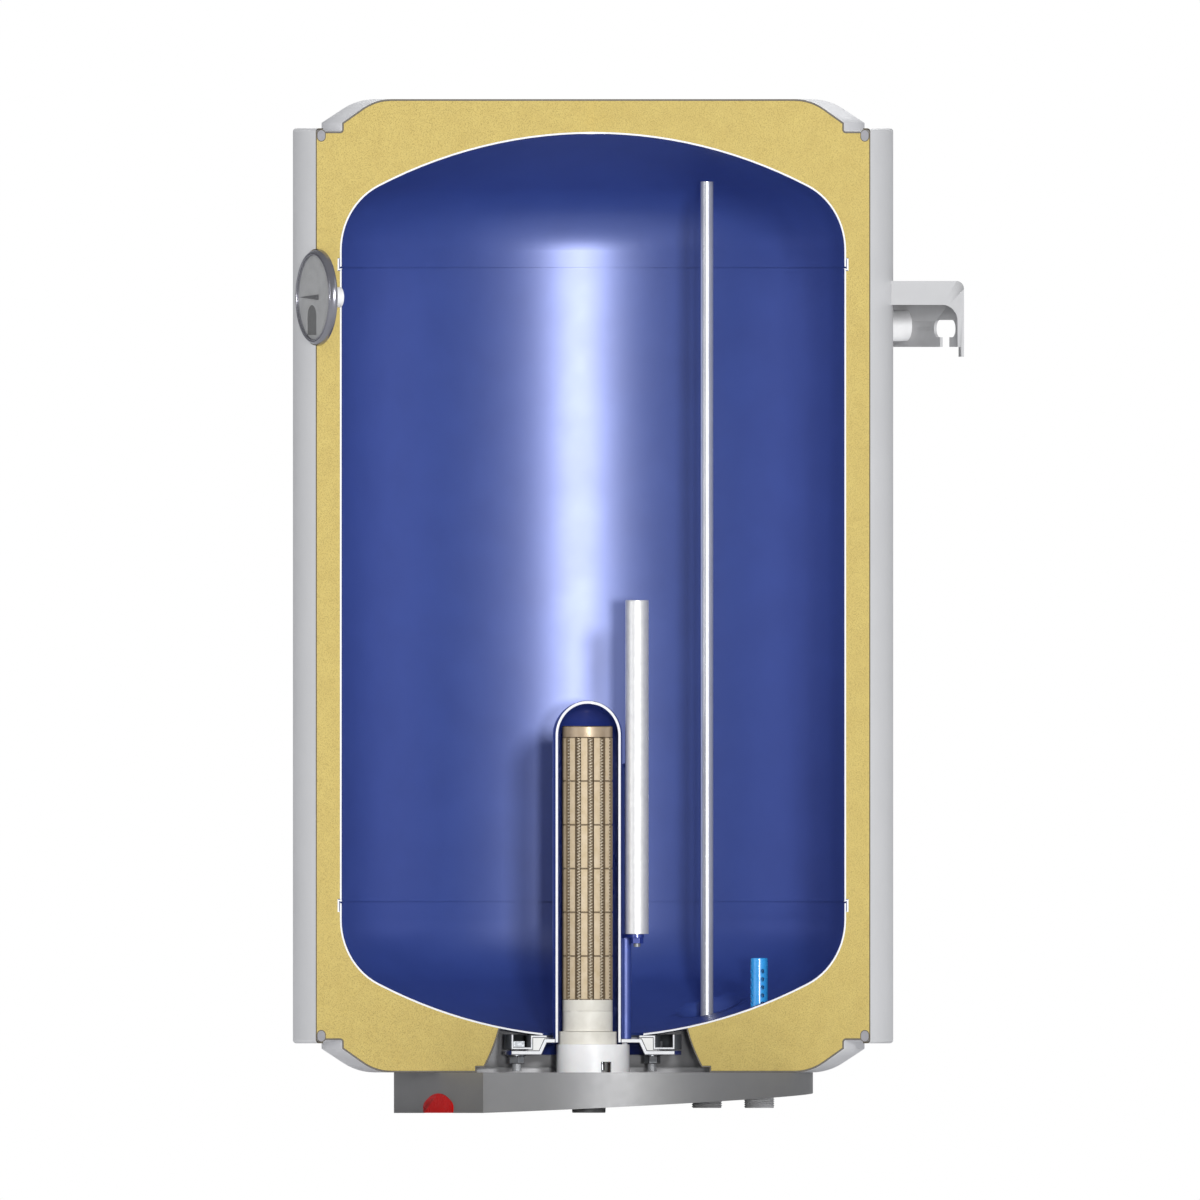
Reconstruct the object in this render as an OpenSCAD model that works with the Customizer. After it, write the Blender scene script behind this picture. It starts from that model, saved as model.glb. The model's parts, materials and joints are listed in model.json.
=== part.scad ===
// Wall-hung storage water heater, shown with a wedge of the casing, insulation and tank cut away.
// The modules use the tank's own frame: the tank's axis is Z, the wall lies towards +Y,
// the dial faces -Y, and z = 0 is the underside of the bottom cover.
// The whole model is then moved so that its origin lies on the wall, between the two hanging slots.

/* [Cut-away] */
// Angle about the tank's axis where the cut-away wedge starts, in degrees
cut_from = -90; // [-95:1:-88]
// Angle about the tank's axis where the cut-away wedge ends, in degrees
cut_to = 45; // [35:1:47]

/* [Casing] */
// Outer radius of the round jacket
jacket_r = 262; // [256:1:300]
// Thickness of the jacket's sheet
jacket_t = 1; // [0.6:0.1:1.6]
// Height of the casing over its two end covers
casing_h = 849.6; // [800:0.1:1000]
// Distance from each end of the casing to the jacket's rim
rim_inset = 25.4; // [23:0.1:28]
// Width of the jacket's turned-in rim
rim_lip_w = 7; // [4:0.1:8]
// Outer corner radius of the jacket's rim
rim_corner_r = 3; // [2:0.1:4]
// Wall of the two end covers
cover_t = 1.5; // [1:0.1:2.5]
// Width of the ledge between the jacket and the step of each cover
ledge_w = 25; // [18:0.1:34]
// Depth of the ledge below the flat of each cover
ledge_depth = 28.3; // [24:0.1:31]
// Radius of the corner between the step and the ledge of each cover
ledge_corner_r = 1.8; // [0.5:0.1:6]
// Width of the shoulder of each cover
shoulder_w = 46.4; // [30:0.1:50]
// Radius of the shoulder's round part, beside the flat of each cover
shoulder_r = 50; // [40:0.1:80]
// Angle of the shoulder's straight slope, in degrees
shoulder_slope = 33.4; // [28:0.1:44]
// Width of the bead on the edge of each cover
bead_w = 8.5; // [6:0.1:10]
// Height of the bead on the edge of each cover
bead_h = 10.7; // [10.2:0.1:14]

/* [Flange well in the bottom cover] */
// Radius of the well where it meets the tank
well_top_r = 86.5; // [84:0.1:92]
// Radius of the well at its ledge
well_throat_r = 102.5; // [97:0.1:110]
// Height of the well's ledge above the underside
well_ledge_z = 4.4; // [3:0.1:8]
// Radius of the well's mouth
well_mouth_r = 110; // [104:0.1:118]
// Radius of the curve of the well's wall
well_curve_r = 144; // [90:1:200]

/* [Tank] */
// Thickness of the insulation beside the tank
foam_side = 21.9; // [14:0.1:40]
// Thickness of the insulation over the tank's crown
foam_top = 27.1; // [15:0.1:60]
// Height of the lowest inner point of the tank above the underside
tank_floor_z = 32.3; // [31:0.1:36]
// Thickness of the tank's steel
tank_t = 2.2; // [1.6:0.1:2.8]
// Crown radius of the heads, inside
crown_r = 467; // [430:1:520]
// Knuckle radius of the heads, inside
knuckle_r = 61; // [40:1:90]
// Height of the straight skirt of each head
skirt_h = 15.4; // [11:0.1:30]
// Height of the shell's widened rim over each head's skirt
shell_rim_h = 8.7; // [6:0.1:10]
// Open groove between shell and head, on the inside
seam_w = 1; // [0.4:0.1:2]
// Clearance between a head's skirt and the rim around it
seam_gap = 0.05; // [0:0.01:0.2]
// Radius of the flange opening in the bottom head
opening_r = 47; // [46:0.1:50]

/* [Flange] */
// Outer radius of the flange plate and its ring
flange_r = 77.2; // [76:0.1:80]
// Thickness of the ring's steel
ring_t = 2; // [1.5:0.1:2.5]
// Height of the step in the ring and in the plate
flange_step_h = 10.4; // [9:0.1:12]
// Radius of the step in the ring
ring_step_r = 56.9; // [55:0.1:58]
// Radius of the ring's inner edge
ring_inner_r = 43.5; // [42:0.1:44.5]
// Thickness of the flange plate
plate_t = 3.5; // [2.5:0.1:4.5]
// Radius of the plate's raised middle
plate_raised_r = 45.9; // [44:0.1:47]
// Radial width of the plate's slope
plate_slope_w = 5.1; // [4:0.1:7]
// Thickness of the gasket where the bolts squeeze it
gasket_t = 1.1; // [0.8:0.1:2]
// Outer radius of the gasket
gasket_r = 61.4; // [60:0.1:61.8]
// Radius of the bolt circle
bolt_circle_r = 66.7; // [66.6:0.1:67.2]
// Number of bolts round the whole flange
bolt_count = 5; // [3:1:6]
// Angle of the first bolt about the tank's axis, in degrees
bolt_angle = 107; // [100:1:112]
// Thread diameter of the bolts
bolt_d = 8; // [6:1:8]
// Width of the square bolt head
bolt_head_w = 13; // [10:0.1:13.4]
// Height of the bolt head
bolt_head_h = 5.3; // [4:0.1:6.5]
// Length of bolt below the flange plate
bolt_reach = 14.2; // [9:0.1:16]
// Height of the nuts
nut_h = 6.5; // [5:0.1:8]
// Width across the corners of the nuts
nut_corners = 15; // [13:0.1:15.5]
// Thickness of the washers
washer_t = 1.2; // [0.8:0.1:2]
// Radius of the washers
washer_r = 8; // [7.5:0.1:8.5]

/* [Heating element] */
// Distance of the sheath's axis in front of the tank's axis
sheath_y = -5.25; // [-6:0.01:-5]
// Outer radius of the sheath
sheath_r = 30.5; // [29.5:0.1:30.9]
// Wall of the sheath
sheath_t = 3; // [1.5:0.1:3.2]
// Height of the sheath's round top above the underside
sheath_top_z = 324.6; // [320:0.1:400]
// Radius of the ceramic beads
bead_r = 21.95; // [20:0.05:23]
// Number of ceramic beads
bead_count = 6; // [6:1:6]
// Height of one ceramic bead
bead_len = 38.2; // [30:0.1:38.8]
// Depth of the chamfer on the beads' edges
bead_chamfer = 0.5; // [0.2:0.1:1]
// Number of grooves round the beads
groove_count = 12; // [8:1:12]
// Angle of the first groove about the element's axis, in degrees
groove_angle = 15; // [0:1:30]
// Width of the grooves
groove_w = 5.4; // [4.6:0.1:5.6]
// Depth of the grooves
groove_depth = 4.8; // [4.6:0.1:5.4]
// Thickness of the top disc
top_disc_h = 9.9; // [6:0.1:10.5]
// Radius of the base tube
base_r = 22; // [20:0.1:23]
// Height of the base tube
base_h = 27.5; // [20:0.1:28]
// Radius of the collar
collar_r = 25.75; // [25:0.05:26.5]
// Height of the collar
collar_h = 11.4; // [8:0.1:12]
// Radius of the rod through the beads
rod_r = 3; // [2:0.1:4]
// Outer radius of the wire spirals
spiral_r = 1.9; // [1.6:0.1:1.9]
// Diameter of the spirals' wire
spiral_wire_d = 0.9; // [0.6:0.1:1.2]
// Number of curls along one spiral
spiral_curls = 7; // [3:1:7]

/* [Element holder] */
// Outer radius of the holder
holder_r = 32; // [31:0.1:33]
// Wall of the holder
holder_t = 3; // [2:0.1:4]
// Gap between the holder and the flange plate above it
holder_gap = 1.4; // [1:0.1:2]
// Height of the holder
holder_h = 30.4; // [28:0.1:32]
// Width of the window in the holder's wall
window_w = 9.6; // [6:0.1:12]
// Height of the window's upper edge above the underside
window_top_z = 9.2; // [6:0.1:14]
// Angle of the window about the tank's axis, in degrees
window_angle = -1; // [-10:1:10]
// Radius of the circle that the terminal pins stand on
terminal_circle_r = 14; // [10:0.1:16]
// Radius of the terminal pins
terminal_r = 2; // [1.5:0.1:3]
// Number of terminal pins
terminal_count = 4; // [2:1:6]

/* [Sensor pocket and anode] */
// Outer radius of the sensor pocket
pocket_r = 5; // [4.5:0.1:5.2]
// Wall of the sensor pocket
pocket_t = 1; // [0.6:0.1:1.2]
// Distance of the pocket behind the tank's axis
pocket_y = 30.85; // [30.8:0.01:31.5]
// Height of the pocket's top above the underside
pocket_top_z = 270.1; // [220:0.1:340]
// Length of the sensor bulb
bulb_len = 110; // [60:1:180]
// Radius of the sensor's capillary
capillary_r = 1; // [0.8:0.1:1.4]
// Bend radius of the capillary
capillary_bend_r = 8; // [6:0.1:8.5]
// Position of the anode along X
anode_x = 17.6; // [17.4:0.1:18.4]
// Position of the anode along Y
anode_y = 34.2; // [34:0.1:36]
// Radius of the anode
anode_r = 10.25; // [9:0.05:10.5]
// Height of the anode's lower end above the underside
anode_z = 120.9; // [110:0.1:135]
// Length of the anode
anode_len = 291.5; // [200:0.5:380]
// Thickness of the anode's bracket
anode_bracket_t = 3.3; // [2:0.1:5]
// Width of the anode's bracket
anode_bracket_w = 12.6; // [11:0.1:16]
// Radius of the anode's stud
anode_stud_r = 3; // [2.5:0.1:4]

/* [Water connections] */
// Distance of each pipe's axis from the middle of the heater
pipe_x = 59.7; // [57:0.1:64]
// Distance of the pipes' axes behind the tank's axis
pipe_y = 132.3; // [128:0.1:136]
// Radius of the flat seat pressed into the head at each connection
seat_r = 24; // [20:0.1:26]
// Height of the flat seat above the tank's lowest point
seat_rise = 15.3; // [14:0.1:16]
// Radius of the nipples' thread
nipple_r = 13.22; // [12.6:0.01:14]
// Radius of the nipples above the thread
nipple_neck_r = 12.4; // [12:0.1:12.6]
// Radius of the nipples' bore
nipple_bore_r = 10; // [8:0.1:10.5]
// Length of thread on the nipples
thread_len = 11; // [8:0.1:14]
// Distance of the nipples' ends below the underside of the casing
nipple_drop = 31; // [28:0.1:45]
// Outer radius of the hot outlet pipe
hot_pipe_r = 5.6; // [5:0.1:6.5]
// Wall of the hot outlet pipe
hot_pipe_t = 0.8; // [0.5:0.1:1.2]
// Gap between the hot outlet pipe's open end and the tank's crown
hot_pipe_room = 41.1; // [39:0.1:200]
// Length of the bush that holds each inner pipe in its nipple
bush_len = 24; // [15:1:30]
// Outer radius of the cold inlet's diffuser
diffuser_r = 7.5; // [6.5:0.1:8.5]
// Wall of the diffuser
diffuser_t = 1.3; // [1:0.1:2]
// Height of the diffuser's closed top above the underside
diffuser_top_z = 99.9; // [97:0.1:120]
// Number of rows of holes in the diffuser
diffuser_rows = 5; // [2:1:5]
// Spacing of the rows of holes
diffuser_pitch = 7.05; // [6:0.05:8]
// Distance of the first row of holes below the diffuser's top
diffuser_first = 11.6; // [8:0.1:14]
// Radius of the diffuser's holes
diffuser_hole_r = 1.88; // [1:0.01:2.5]

/* [Wall bracket] */
// Distance from the jacket to the wall
wall_gap = 36.3; // [32:0.1:45]
// Half the width of the bracket
bracket_half_w = 126; // [122:0.5:140]
// Height of the hanging slots above the underside of the casing
slot_z = 649.3; // [500:0.1:700]
// Height of the bracket's top above the slots
bracket_above = 41.6; // [36:0.1:50]
// Depth of the bracket's lower edge below the slots
bracket_below = 16; // [14:0.1:24]
// Thickness of the bracket's steel
bracket_t = 2.5; // [2:0.1:3.5]
// Radius of the bend at the bracket's top
bracket_bend_r = 7; // [4:0.1:10]
// Height of the full part of each cheek
cheek_band = 20.9; // [16:0.1:26]
// Width of the border left on each cheek at the wall
cheek_border = 6; // [4:0.1:9]
// Radius of the corner of the opening in each cheek
cheek_corner_r = 14; // [8:0.1:16]
// Width of the lip at each end of the bracket
end_lip_w = 6.5; // [4:0.1:8]
// Length of the lip below the bracket's lower edge
end_lip_h = 8.6; // [4:0.1:12]
// Distance between the two hanging slots
slot_spacing = 176; // [150:1:180]
// Length of the head of each slot
slot_len = 49; // [40:0.5:52]
// Height of the head of each slot
slot_h = 15; // [12:0.1:16]
// Width of the open neck of each slot
slot_neck_w = 21; // [16:0.5:24]
// Radius of the post that carries the bracket
post_r = 13.5; // [10:0.1:15]
// Height of the post above the slots
post_rise = 2.5; // [0:0.1:8]

/* [Control housing] */
// Radius of the housing's round side
housing_r = 184.6; // [180:0.1:186]
// Distance of the housing's centre behind the tank's axis
housing_y = 8; // [4:0.1:12]
// Distance of the housing's flat front from the tank's axis
housing_front = 146; // [140:0.1:150]
// Wall of the housing
housing_t = 2.5; // [1.8:0.1:3]
// Depth of the housing at its front
housing_depth = 35.4; // [34:0.1:40]
// Slope of the housing's underside, in degrees
housing_slope = 3.05; // [2:0.05:3.2]
// Clearance round the nipples where they leave the housing
nipple_clear = 3; // [1.5:0.1:6]
// Radius of the screw columns
column_r = 5; // [4:0.1:6]
// Radius of the screws
screw_r = 1.75; // [1.5:0.05:2.2]
// Radius of the screw heads
screw_head_r = 3.5; // [3:0.1:3.8]
// Depth of the recess for each screw head
screw_recess = 4; // [3.5:0.1:5]
// Length of screw in the bottom cover
screw_bite = 6; // [3:0.1:9]

/* [Pilot lens] */
// Half the width of the pilot lens
lens_half_w = 34.2; // [25:0.1:40]
// Half the height of the full lens shape
lens_half_h = 13.1; // [10:0.1:15]
// Radius of the lens shape's ends
lens_end_r = 6; // [4:0.1:8]
// Height of the lens's middle above the front edge of the underside
lens_rise = 4; // [2:0.1:8]
// Distance that the lens stands out of the housing
lens_proud = 0.4; // [0.2:0.1:1.5]
// Thickness of the rim that holds the lens from inside
lens_rim = 1.5; // [1:0.1:3]

/* [Thermostat] */
// Width of the thermostat's body
thermostat_w = 56; // [50:1:60]
// Depth of the thermostat's body
thermostat_d = 44; // [40:1:48]
// Height of the thermostat's body
thermostat_h = 13; // [11:0.1:13.5]
// Position of the thermostat and its knob along Y
knob_y = -4; // [-5:0.1:-3]
// Radius of the bushing under the thermostat
bushing_r = 5; // [4.5:0.1:7]
// Height of the bushing under the thermostat
bushing_h = 3; // [2:0.1:3.4]
// Radius of the thermostat's spindle
spindle_r = 3; // [2:0.1:4]
// Running clearance of the spindle in its bushing
spindle_clear = 0.05; // [0.02:0.01:0.1]
// Radius of the knob at its top
knob_r = 15; // [13:0.1:18]
// Radius of the knob at its lower face
knob_face_r = 14.6; // [12:0.1:15]
// Depth of the knob's lower face below the casing
knob_bottom = 35.2; // [34:0.1:38]
// Clearance round the knob in the housing
knob_clear = 0.8; // [0.5:0.1:1.5]
// Width of the mark on the knob's face
knob_mark_w = 1.6; // [1:0.1:3]

/* [Safety cut-out] */
// Width of the cut-out's body
cutout_w = 22; // [16:1:28]
// Depth of the cut-out's body
cutout_d = 20; // [14:1:26]
// Radius of the reset button
button_r = 2.5; // [2:0.1:3.5]
// Running clearance of the reset button
button_clear = 0.05; // [0.03:0.01:0.1]
// Length of reset button that stands out of the cut-out
button_out = 2.2; // [1.8:0.1:2.6]
// Length of reset button held in the cut-out
button_held = 5; // [4:0.1:6]
// Travel of the reset button
button_travel = 1.5; // [1:0.1:1.6]

/* [Mains connection] */
// Position of the cable gland along X
gland_x = -120; // [-125:0.5:-110]
// Position of the cable gland along Y
gland_y = 60; // [50:0.5:70]
// Radius of the cable gland's thread
gland_r = 10; // [8:0.1:11]
// Radius of the cable gland's bore
gland_bore_r = 4.6; // [3:0.1:6]
// Width of the gland's flange and nut across the corners
gland_corners = 27.7; // [25:0.1:30]
// Height of the gland's flange below the housing
gland_flange_h = 5; // [3:0.1:6]
// Length of the gland inside the housing
gland_inside = 11; // [9:0.1:13]
// Height of the gland's lock nut
gland_nut_h = 5; // [3:0.1:6]
// Position of the terminal block along X
block_x = -70; // [-76:1:-62]
// Position of the terminal block along Y
block_y = 20; // [10:1:30]
// Width of the terminal block
block_w = 42; // [36:1:46]
// Depth of the terminal block
block_d = 18; // [14:1:24]
// Height of the terminal block
block_h = 13; // [10:0.5:15]
// Height of the terminal block's top below the casing
block_top = 4; // [2:0.1:6]
// Number of poles of the terminal block
block_poles = 4; // [2:1:5]

/* [Dial thermometer] */
// Height of the dial's centre above the underside of the casing
dial_z = 676.7; // [600:0.1:680]
// Outer radius of the bezel
bezel_r = 42; // [36:0.1:46]
// Radius of the bezel at its front edge
bezel_front_r = 38.9; // [38:0.1:40]
// Depth of the bezel
bezel_depth = 6.6; // [5.5:0.1:8]
// Depth of the bezel's back behind the front of the jacket
bezel_sink = 3.4; // [3:0.1:4]
// Radius of the dial's face
face_r = 36.9; // [34:0.1:37.2]
// Thickness of the dial's face
face_t = 1; // [0.6:0.1:1.4]
// Thickness of the clear lens
dial_lens_t = 0.8; // [0.5:0.1:1.2]
// Radius of the dial's case
case_r = 30; // [22:0.5:32]
// Depth of the dial's case behind the bezel
case_depth = 4.2; // [3:0.1:5]
// Wall of the dial's case
case_t = 1; // [0.6:0.1:1.4]
// Radius of the stem between case and tank
stem_r = 9; // [7:0.1:12]
// Length of the pointer from its axis to its tip
pointer_len = 36; // [28:0.1:36.5]
// Length of the pointer behind its axis
pointer_tail = 8; // [4:0.1:12]
// Width of the pointer's tail
pointer_w = 4.6; // [3:0.1:6]
// Thickness of the pointer
pointer_t = 0.5; // [0.3:0.1:0.8]
// Gap in front of and behind the pointer
pointer_gap = 0.4; // [0.3:0.1:0.8]
// Radius of the pointer's arbor
arbor_r = 1; // [0.8:0.1:1.5]
// Running clearance of the arbor
arbor_clear = 0.05; // [0.02:0.01:0.1]
// Width of the arched field in the dial's face
arch_w = 21; // [14:0.1:24]
// Position of the arched field along X
arch_x = -7.8; // [-10:0.1:0]
// Height of the arched field's lower edge below the dial's centre
arch_bottom = 33; // [28:0.1:33]
// Depth of the arched field's top below the dial's centre
arch_top = 6.8; // [4:0.1:10]
// Depth of the arched field in the face
arch_depth = 0.3; // [0.2:0.05:0.5]

/* [Hidden] */
$fn = 120;
FINE = 360;
EPS = 0.01;
BIG = 2 * casing_h;

// Casing and tank levels that follow from the sizes above
keep_angle = 360 - (cut_to - cut_from);
jacket_in_r = jacket_r - jacket_t;
step_r = jacket_r - ledge_w;
flat_r = step_r - shoulder_w;
bead_x = jacket_in_r - bead_w / 2;
bead_round = bead_w / 2;
tank_r = jacket_in_r - foam_side - tank_t;
tank_out_r = tank_r + tank_t;
tank_crown_z = casing_h - cover_t - foam_top - tank_t;
hot_pipe_top_z = tank_crown_z - hot_pipe_room;
knuckle_x = tank_r - knuckle_r;
head_depth = crown_r - sqrt(pow(crown_r - knuckle_r, 2) - pow(knuckle_x, 2));
lower_seam_z = tank_floor_z + head_depth + skirt_h;
upper_seam_z = tank_crown_z - head_depth - skirt_h;
rim_in_r = tank_out_r + seam_gap;
rim_out_r = rim_in_r + tank_t;

well_rise = 12;

// Flange levels, worked downwards from the bottom head
head_under_z = tank_floor_z + crown_r - sqrt(pow(crown_r + tank_t, 2) - pow(opening_r, 2));
hook_z = head_under_z - ring_t;
plate_top_z = hook_z - gasket_t;
plate_under_z = plate_top_z - plate_t;
channel_z = hook_z - flange_step_h;
seat_plate_z = channel_z - gasket_t;
bolt_face_z = seat_plate_z - plate_t;
slope_angle = atan(flange_step_h / plate_slope_w);
mitre = plate_t * tan(slope_angle / 2);
bolt_clear = 0.5;
washer_clear = 0.2;
bolt_hole_r = bolt_d / 2 + bolt_clear;
ring_wall_h = tank_floor_z + flange_r;

// Element levels
holder_top_z = plate_under_z - holder_gap;
holder_low_z = holder_top_z - holder_h;
collar_top_z = holder_top_z + collar_h;
base_top_z = collar_top_z + base_h;
beads_top_z = base_top_z + bead_count * bead_len;
dome_z = sheath_top_z - sheath_r;
groove_floor_r = bead_r - groove_depth;
spiral_seat = 0.5;
spiral_axis_r = groove_floor_r + spiral_r + spiral_seat;
rod_clear = 0.2;
bead_bore_r = rod_r + rod_clear;
rod_sunk = 1;
base_line = 0.3;
base_line_at = 0.63;
terminal_up = 8;
pad_r = 2.5;
pad_angles = [60, 120, 180];
notch_w = 7;

// Anode and sensor
bulb_clear = 0.2;
bulb_rise = 24;
pocket_bore_r = pocket_r - pocket_t;
bulb_r = pocket_bore_r - bulb_clear;
bulb_z = plate_under_z + bulb_rise;
capillary_up = 7;
anode_nut_h = 5;
anode_nut_corners = 11.5;
anode_stud_deep = 20;
anode_stud_below = 8;
anode_bracket_clear = 0.3;

// Water connections
seat_z = tank_floor_z + seat_rise;
seat_wall_h = 24;
seat_spread = 9;
seat_wall_r = seat_r + seat_spread;
nipple_low_z = -nipple_drop;
bush_sunk = 1.5;
bush_top_z = seat_z - bush_sunk;
pipe_tail = 4;
diffuser_edge = 0.6;
nipple_edge = 1;
diffuser_angles = [0, 90, 180, 270];

// Bracket
wall_y = jacket_r + wall_gap;
bracket_top_z = slot_z + bracket_above;
bracket_low_z = slot_z - bracket_below;
post_z = slot_z + post_rise;

// Housing
lens_big_r = (pow(lens_half_w - lens_end_r, 2) + pow(lens_half_h, 2) - pow(lens_end_r, 2))
    / (2 * (lens_half_h - lens_end_r));
lens_tangent_x = (lens_half_w - lens_end_r) * lens_big_r / (lens_big_r - lens_end_r);
lens_z = -housing_depth + lens_rise;
lens_clear = 0.1;
thermostat_top_z = holder_low_z;
thermostat_low_z = thermostat_top_z - thermostat_h;
bushing_low_z = thermostat_low_z - bushing_h;
knob_gap = 0.4;
spindle_held = 4;
spindle_end = 0.1;
knob_floor = 3;
knob_edge = 0.6;
knob_mark_depth = 0.5;
knob_mark_room = 4;
knob_top_z = bushing_low_z - knob_gap;
spindle_top_z = thermostat_low_z + spindle_held;
spindle_low_z = -knob_bottom + knob_floor;
knob_hole_r = knob_r + knob_clear;
column_spots = [[-85, -95], [-95, 110], [100, 115]];
block_foot_r = 3;
block_low_z = -block_top - block_h;
block_screw_depth = 6;
block_screw_share = 0.28;
block_wire_depth = 4;
block_wire_share = 0.22;
block_wire_at = 0.4;
screw_head_h = 2.2;
screw_head_clear = 0.2;
screw_slot_w = 1;
screw_slot_len = 4.4;
screw_slot_depth = 1;

// Dial
bezel_back_y = -jacket_r + bezel_sink;
bezel_front_y = bezel_back_y - bezel_depth;
bezel_lip = 0.6;
bezel_bevel = 0.8;
bezel_back_h = 1.4;
lens_front_y = bezel_front_y + bezel_lip;
lens_back_y = lens_front_y + dial_lens_t;
pointer_front_y = lens_back_y + pointer_gap;
pointer_back_y = pointer_front_y + pointer_t;
face_front_y = pointer_back_y + pointer_gap;
face_back_y = face_front_y + face_t;
case_back_y = bezel_back_y + case_depth;
arbor_end = 0.1;
bezel_seat_r = face_r + bezel_lip;
hole_clear = 0.2;

// True where an angle about the tank's axis lies in the cut-away wedge, with some room beside it
function in_cut(angle, room = 8) =
    let (turn = (angle - cut_from + room + 720) % 360)
    turn < cut_to - cut_from + 2 * room;

// A ring of points round the centre line of a tube
function tube_ring(centre, side, up, radius, sides) =
    [for (i = [0 : sides - 1]) centre + radius * (cos(360 * i / sides) * side + sin(360 * i / sides) * up)];

// A closed tube through a list of rings, each with as many points as the next
module tube(rings) {
    sides = len(rings[0]);
    last = len(rings) - 1;
    walls = [for (i = [0 : last - 1]) for (k = [0 : sides - 1])
        let (a = i * sides + k, b = i * sides + (k + 1) % sides)
            each [[a, b + sides, b], [a, a + sides, b + sides]]];
    first_end = [for (k = [1 : sides - 2]) [0, k, k + 1]];
    last_end = [for (k = [1 : sides - 2]) [last * sides, last * sides + k + 1, last * sides + k]];
    polyhedron([for (ring = rings) each ring], concat(walls, first_end, last_end));
}

// Moves the tank's frame to the frame of the whole heater
module place() {
    translate([0, -wall_y, -slot_z]) children();
}

// Turns a profile of radius and height round the tank's axis, leaving out the cut-away wedge
module turned() {
    rotate_extrude(angle = keep_angle, start = cut_to) children();
}

// The wedge that is cut away, as a tall prism
module cut_wedge() {
    mid = (cut_from + cut_to) / 2;
    translate([0, 0, -BIG / 2]) linear_extrude(BIG)
        polygon([[0, 0], BIG * [cos(cut_from), sin(cut_from)],
            1.5 * BIG * [cos(mid), sin(mid)], BIG * [cos(cut_to), sin(cut_to)]]);
}

// The space under one end cover, seen as a half profile, with the cover's flat at y = 0 and y downwards
module cover_form(inset) {
    slope_start = [flat_r, shoulder_r] + (shoulder_r - inset) * [sin(shoulder_slope), -cos(shoulder_slope)];
    slope_end = slope_start + 2 * shoulder_w * [cos(shoulder_slope), sin(shoulder_slope)];
    intersection() {
        translate([0, inset]) square([step_r - inset, ledge_depth + cover_t]);
        union() {
            square([flat_r, 2 * shoulder_r]);
            translate([flat_r, shoulder_r]) circle(shoulder_r - inset, $fn = FINE);
            polygon([[flat_r, shoulder_r], slope_start, slope_end, [flat_r, slope_end.y]]);
        }
    }
}

// What rounds the corner between the step and the ledge of one cover: all of it outside the given radius
module ledge_corner(radius) {
    span = ledge_corner_r + cover_t;
    difference() {
        translate([step_r - cover_t, ledge_depth - ledge_corner_r]) square(span);
        translate([step_r + ledge_corner_r, ledge_depth - ledge_corner_r]) circle(radius);
    }
}

// The bead on the edge of one cover, in the same half profile
module cover_bead(grow = 0) {
    top = rim_inset + jacket_t;
    translate([bead_x, top + bead_round]) circle(bead_round + grow);
    translate([bead_x, top + bead_h - bead_round]) circle(bead_round + grow);
    translate([bead_x - bead_round - grow, top + bead_round]) square([bead_w + 2 * grow, bead_h - bead_w]);
}

// The bead and the narrow space between it and the jacket's rim
module bead_seat() {
    cover_bead();
    translate([bead_x, 0]) square([bead_w, rim_inset + jacket_t + bead_round]);
}

// One end cover in half profile, with its flat at y = 0
module cover_profile() {
    difference() {
        union() {
            cover_form(0);
            ledge_corner(ledge_corner_r);
        }
        cover_form(cover_t);
        translate([0, ledge_depth]) square([step_r - cover_t, BIG]);
        ledge_corner(ledge_corner_r + cover_t);
    }
    difference() {
        translate([step_r + ledge_corner_r, ledge_depth])
            square([bead_x - step_r - ledge_corner_r, cover_t]);
        cover_bead(-EPS);
    }
    cover_bead();
}

// Half profile of the space that the insulation fills, with the covers' thickness taken off
module foam_form() {
    floor_z = ledge_depth + cover_t;
    difference() {
        union() {
            translate([0, floor_z]) square([jacket_in_r, casing_h - 2 * floor_z]);
            cover_form(cover_t);
            ledge_corner(ledge_corner_r + cover_t);
            translate([0, casing_h]) mirror([0, 1]) {
                cover_form(cover_t);
                ledge_corner(ledge_corner_r + cover_t);
            }
        }
        bead_seat();
        translate([0, casing_h]) mirror([0, 1]) bead_seat();
    }
}

// Half profile of a dished head's inside, grown outwards, with its lowest inner point at y = 0
module head_form(grow) {
    tangent_x = knuckle_x * (crown_r + grow) / (crown_r - knuckle_r);
    intersection() {
        translate([0, crown_r]) circle(crown_r + grow, $fn = FINE);
        translate([0, -grow - 1]) square([tangent_x, head_depth + grow + 1]);
    }
    intersection() {
        translate([knuckle_x, head_depth]) circle(knuckle_r + grow);
        translate([knuckle_x, 0]) square([knuckle_r + grow, head_depth]);
    }
    translate([0, head_depth]) square([tank_r + grow, skirt_h - seam_w / 2]);
}

// Half profile of everything inside the tank's outer surface
module tank_form() {
    translate([0, tank_floor_z]) head_form(tank_t);
    translate([0, tank_crown_z]) mirror([0, 1]) head_form(tank_t);
    translate([0, lower_seam_z - 1]) square([tank_out_r, upper_seam_z - lower_seam_z + 2]);
    translate([0, lower_seam_z - shell_rim_h]) square([rim_out_r, shell_rim_h + seam_w / 2 + tank_t]);
    translate([0, upper_seam_z - seam_w / 2 - tank_t])
        square([rim_out_r, shell_rim_h + seam_w / 2 + tank_t]);
}

// The two flat seats that are pressed into the bottom head for the connections
module seat_cones(grow) {
    for (side = [-1, 1])
        translate([side * pipe_x, pipe_y, seat_z - grow])
            cylinder(seat_wall_h + grow, seat_r + grow, seat_wall_r + grow);
}

// Upright cylinders at both connections
module at_connections(low, high, radius) {
    for (side = [-1, 1])
        translate([side * pipe_x, pipe_y, low]) cylinder(high - low, radius, radius);
}

// A cylinder from y0 to y1 along Y, at the middle of the heater
module along_y(y0, y1, z, radius) {
    translate([0, y0, z]) rotate([-90, 0, 0]) cylinder(y1 - y0, radius, radius);
}

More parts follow.
